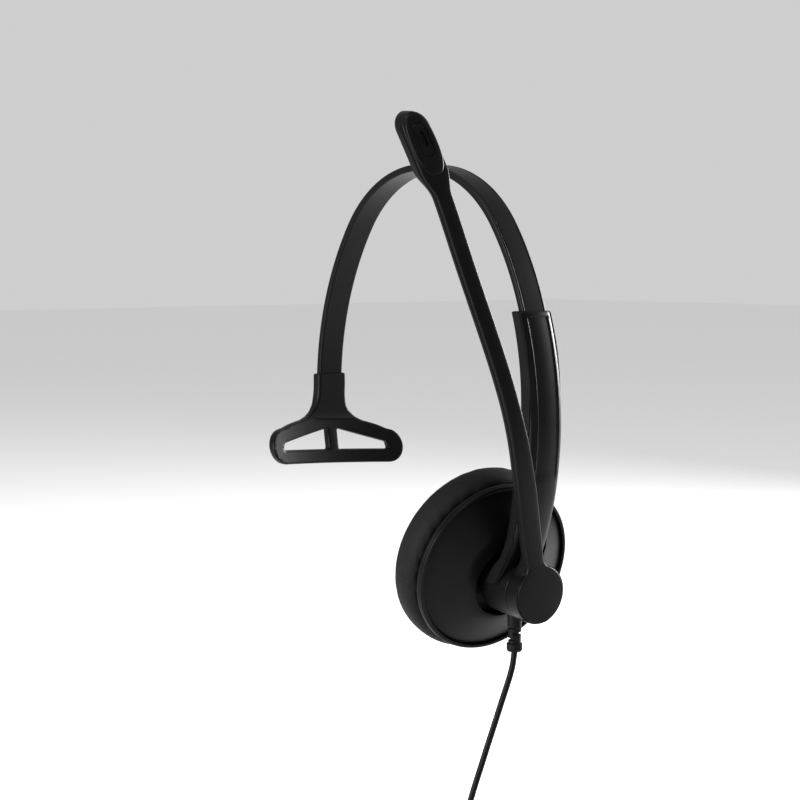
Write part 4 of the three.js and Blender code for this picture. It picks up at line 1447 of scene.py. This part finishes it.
    def build(self) -> None:
        """Makes the boom's pieces and dresses what is inside them."""
        place = self.matrix()
        self.show(self.skirt_ring(), "skirt", Finish.GLOSSIER, "boom", place=HUB.matrix())
        self.show(self.shell(), "shell", Finish.SATIN, "boom", ("boom_shell",), place)
        self.show(self.facing(), "facing", Finish.SATIN, "boom", ("boom_cover", "pivot_cap"), place)
        self.show(self.pad(), "mic_pad", Finish.SATIN, "boom", place=place)
        self.show(self.bezel(), "bezel", Finish.GLOSSIER, "boom", ("mic_bezel",), place)
        self.dress({
            "mic_mesh": Finish.MESH,
            "mic_capsule": Finish.STEEL,
            "mic_lead": Finish.JACKET,
            "pivot_axle": Finish.STEEL,
            "retaining_clip": Finish.STEEL,
        })


# ---------------------------------------------------------------- ear cup


@dataclass
class EarCup(SubAssembly):
    """The ear cup: a conical shell, its rim, the speaker and the soft cushion."""

    rim: float = 30.2
    cone_top: float = 6.5
    cone_top_radius: float = 15.8
    base_radius: float = 28.5
    base_x: float = 0.3
    recess_radius: float = 12.5
    recess_lift: float = 1.3
    floor: float = 0.913
    wall: float = 1.4
    segments: int = 128

    def cone_x(self, radius: float) -> float:
        """The cone's height at a radius, rounded over at its shoulder."""
        slope = (self.cone_top - self.base_x) / (self.base_radius - self.cone_top_radius)
        flank = self.base_x + (self.base_radius - radius) * slope
        soft = 0.35
        gap = (flank - self.cone_top) / soft
        return flank - soft * math.log1p(math.exp(min(30.0, gap)))

    def ring(self, share: float, x: float | None, radius: float, lift: float = 0.0) -> list[Vector]:
        """A ring between the cone's base and the recess.

        Args:
            share: 0 about the cup's axis, 1 about the ball.
            x: its height, or None to lie on the cone.
            radius: the ring's radius about its own centre.
            lift: added to the height.

        Returns:
            The ring's points.
        """
        ball = CUP.matrix().inverted() @ BALL
        points = []
        for step in range(self.segments):
            turn = 2 * math.pi * step / self.segments
            y = ball.y * share + radius * math.cos(turn)
            z = (ball.z + self.lift(radius)) * share + radius * math.sin(turn)
            height = self.cone_x(math.hypot(y, z)) if x is None else x
            points.append(Vector((height + lift, y, z)))
        return points

    def lift(self, radius: float) -> float:
        """How far above the ball a ring's centre lies: the socket is centred on the ball."""
        return self.recess_lift * smoothstep(radius, 8, self.recess_radius)

    def cone(self) -> BMesh:
        """The shell: the cone outside, the recess round the hub and the socket in its floor."""
        base, recess, steps = self.base_radius, self.recess_radius, 40
        outside, under = [], []
        for step in range(steps + 1):
            share = step / steps
            radius = base + (recess + 0.25 - base) * share
            outside.append(self.ring(share, None, radius))
            if step % 4 == 0:
                inner = radius + (2.0 - self.wall) * share - self.wall * (1 - share)
                under.append(self.ring(share, None, inner, -self.wall))
        floor = self.floor
        rings = [
            self.ring(0, -1.2, base - self.wall), self.ring(0, -1.2, base - 0.2),
            self.ring(0, -1.0, base), *outside,
            self.ring(1, None, recess, -0.22), self.ring(1, floor + 0.5, recess),
            self.ring(1, floor + 0.15, recess - 0.15), self.ring(1, floor, recess - 0.6),
            self.ring(1, floor, 6.7), self.ring(1, floor - 0.15, 6.5), self.ring(1, -2.1, 6.5),
            self.ring(1, -2.1, 7.6), self.ring(1, floor - 1.4, 7.6),
            self.ring(1, floor - 1.4, recess + 1.0), *reversed(under[1:]),
        ]
        return loft(rings, joined=True)

    def rim_ring(self) -> BMesh:
        """The rim: two beads with a groove between them."""
        r, inner = self.rim, self.base_radius + 0.25
        profile = [
            (-1.6, inner), (-1.6, r - 0.25), (-1.45, r - 0.05), (-1.2, r), (-0.35, r),
            (-0.15, r - 0.08), (-0.05, r - 0.35), (0.05, r - 0.35), (0.15, r - 0.08),
            (0.35, r), (0.75, r - 0.02), (1.0, r - 0.15), (1.25, r - 0.5), (1.3, r - 0.8),
            (1.15, inner + 0.1), (0.9, inner),
        ]
        return turned(profile, 144, closed=True)

    def nub(self) -> BMesh:
        """The little round stop above the hub."""
        profile = [(2, 0), (2, 1.9), (6.5, 1.9), (6.85, 1.75), (7.05, 1.4), (7.15, 0.8), (7.17, 0)]
        mesh = turned(profile, 40)
        bmesh.ops.translate(mesh, verts=mesh.verts, vec=(0, 0, 15.4))
        return mesh

    def build(self) -> None:
        """Makes the cup's pieces and dresses what is inside it."""
        place = CUP.matrix()
        self.show(self.cone(), "cup", Finish.SATIN, "cup", ("cup_shell",), place)
        self.show(self.rim_ring(), "rim", Finish.SATIN, "cup", ("cup_rim",), place)
        self.show(self.nub(), "nub", Finish.SATIN, "cup", place=place)
        Cushion(pieces=self.pieces).build()
        self.dress({
            "ball_liner": Finish.RUBBER,
            "speaker_baffle": Finish.MATTE,
            "speaker_basket": Finish.MATTE,
            "speaker_magnet": Finish.MAGNET,
            "speaker_membrane": Finish.FILM,
            "speaker_cloth": Finish.CLOTH,
            "baffle_screw_1": Finish.STEEL,
            "baffle_screw_2": Finish.STEEL,
            "baffle_screw_3": Finish.STEEL,
        })


@dataclass
class Cushion(SubAssembly):
    """The foam ring in its thin skin."""

    back: float = -5.9
    front: float = -15.4
    seat: float = 27.9
    outer: float = 32.9
    hole: float = 13.6
    shoulder: float = 4.4
    shrink: float = 0.5
    voxel: float = 1.6
    cap: float = 1.0

    def profile(self) -> list[Point]:
        """The ring's closed section (x, radius), a little inside its finished size."""
        r = self.shoulder
        outer, hole, front = self.outer - self.shrink, self.hole + self.shrink, self.front + self.shrink
        points = [
            (self.back, hole + 1), (self.back, self.seat), (-2.0, self.seat), (-2.0, outer - 2.9),
            (-2.4, outer - 1.9), (-3.6, outer - 0.8), (-5.4, outer - 0.1), (-7.6, outer + 0.12),
        ]
        steps = 8
        for i in range(steps + 1):
            turn = math.pi / 2 * i / steps
            points.append((front + r * (1 - math.sin(turn)), outer - r * (1 - math.cos(turn))))
        points += [(front - 0.15, radius) for radius in (23.6, 20.5)]
        for i in range(steps + 1):
            turn = math.pi / 2 * i / steps
            points.append((front + r * (1 - math.cos(turn)), hole + r * (1 - math.sin(turn))))
        return points

    def puff(self, piece: bpy.types.Object) -> None:
        """Lets the skin settle over its foam with a short cloth simulation."""
        rest = [vert.co.copy() for vert in piece.data.vertices]
        cloth = piece.modifiers.new("puff", "CLOTH")
        cloth.settings.use_pressure = True
        cloth.settings.uniform_pressure_force = 4
        cloth.settings.effector_weights.gravity = 0
        cloth.settings.quality = 5
        scene = bpy.context.scene
        for number in range(1, 21):
            scene.frame_set(number)
        settled = piece.evaluated_get(bpy.context.evaluated_depsgraph_get())
        moved = [vert.co.copy() for vert in settled.data.vertices]
        piece.modifiers.remove(cloth)
        scene.frame_set(1)
        for vert, start, end in zip(piece.data.vertices, rest, moved):
            shift = end - start
            if shift.length > self.cap * MM:
                shift = shift.normalized() * self.cap * MM
            vert.co = start + shift * 0.6

    def remeshed(self) -> bpy.types.Object:
        """The ring as one even skin of small faces."""
        mesh = turned(self.profile(), 120, closed=True)
        mesh.transform(CUP.matrix())
        mesh.transform(Matrix.Scale(MM, 4))
        data = bpy.data.meshes.new("cushion")
        mesh.to_mesh(data)
        mesh.free()
        piece = bpy.data.objects.new("cushion", data)
        bpy.context.scene.collection.objects.link(piece)
        voxels = piece.modifiers.new("voxels", "REMESH")
        voxels.mode = "VOXEL"
        voxels.voxel_size = self.voxel * MM
        self.apply(piece)
        return piece

    @staticmethod
    def apply(piece: bpy.types.Object) -> None:
        """Applies a piece's modifiers to its mesh."""
        finished = piece.evaluated_get(bpy.context.evaluated_depsgraph_get())
        made = bpy.data.meshes.new_from_object(finished)
        piece.modifiers.clear()
        piece.data = made

    def build(self) -> None:
        """Makes the cushion."""
        piece = self.remeshed()
        self.puff(piece)
        smooth = bmesh.new()
        smooth.from_mesh(piece.data)
        for _ in range(2):
            bmesh.ops.smooth_vert(smooth, verts=smooth.verts, factor=0.5)
        bmesh.ops.recalc_face_normals(smooth, faces=smooth.faces)
        smooth.to_mesh(piece.data)
        smooth.free()
        finer = piece.modifiers.new("finer", "SUBSURF")
        finer.levels = finer.render_levels = 1
        self.apply(piece)
        piece.data.polygons.foreach_set("use_smooth", [True] * len(piece.data.polygons))
        self.mount(piece, Finish.CUSHION, "cup", ("ear_cushion",))


# ---------------------------------------------------------------- the headset


def main() -> None:
    """Builds the headset and its surroundings, and logs each piece."""
    logging.basicConfig(level=logging.INFO, format="%(name)s: %(message)s")
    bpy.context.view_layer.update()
    studio = Studio()
    studio.camera()
    parts = (Cord(), Headband(), TempleRest(), SliderArm(), StrainRelief(), Boom(), EarCup())
    for part in parts:
        part.build()
        part.report()
    studio.build()


if __name__ == "__main__":
    main()
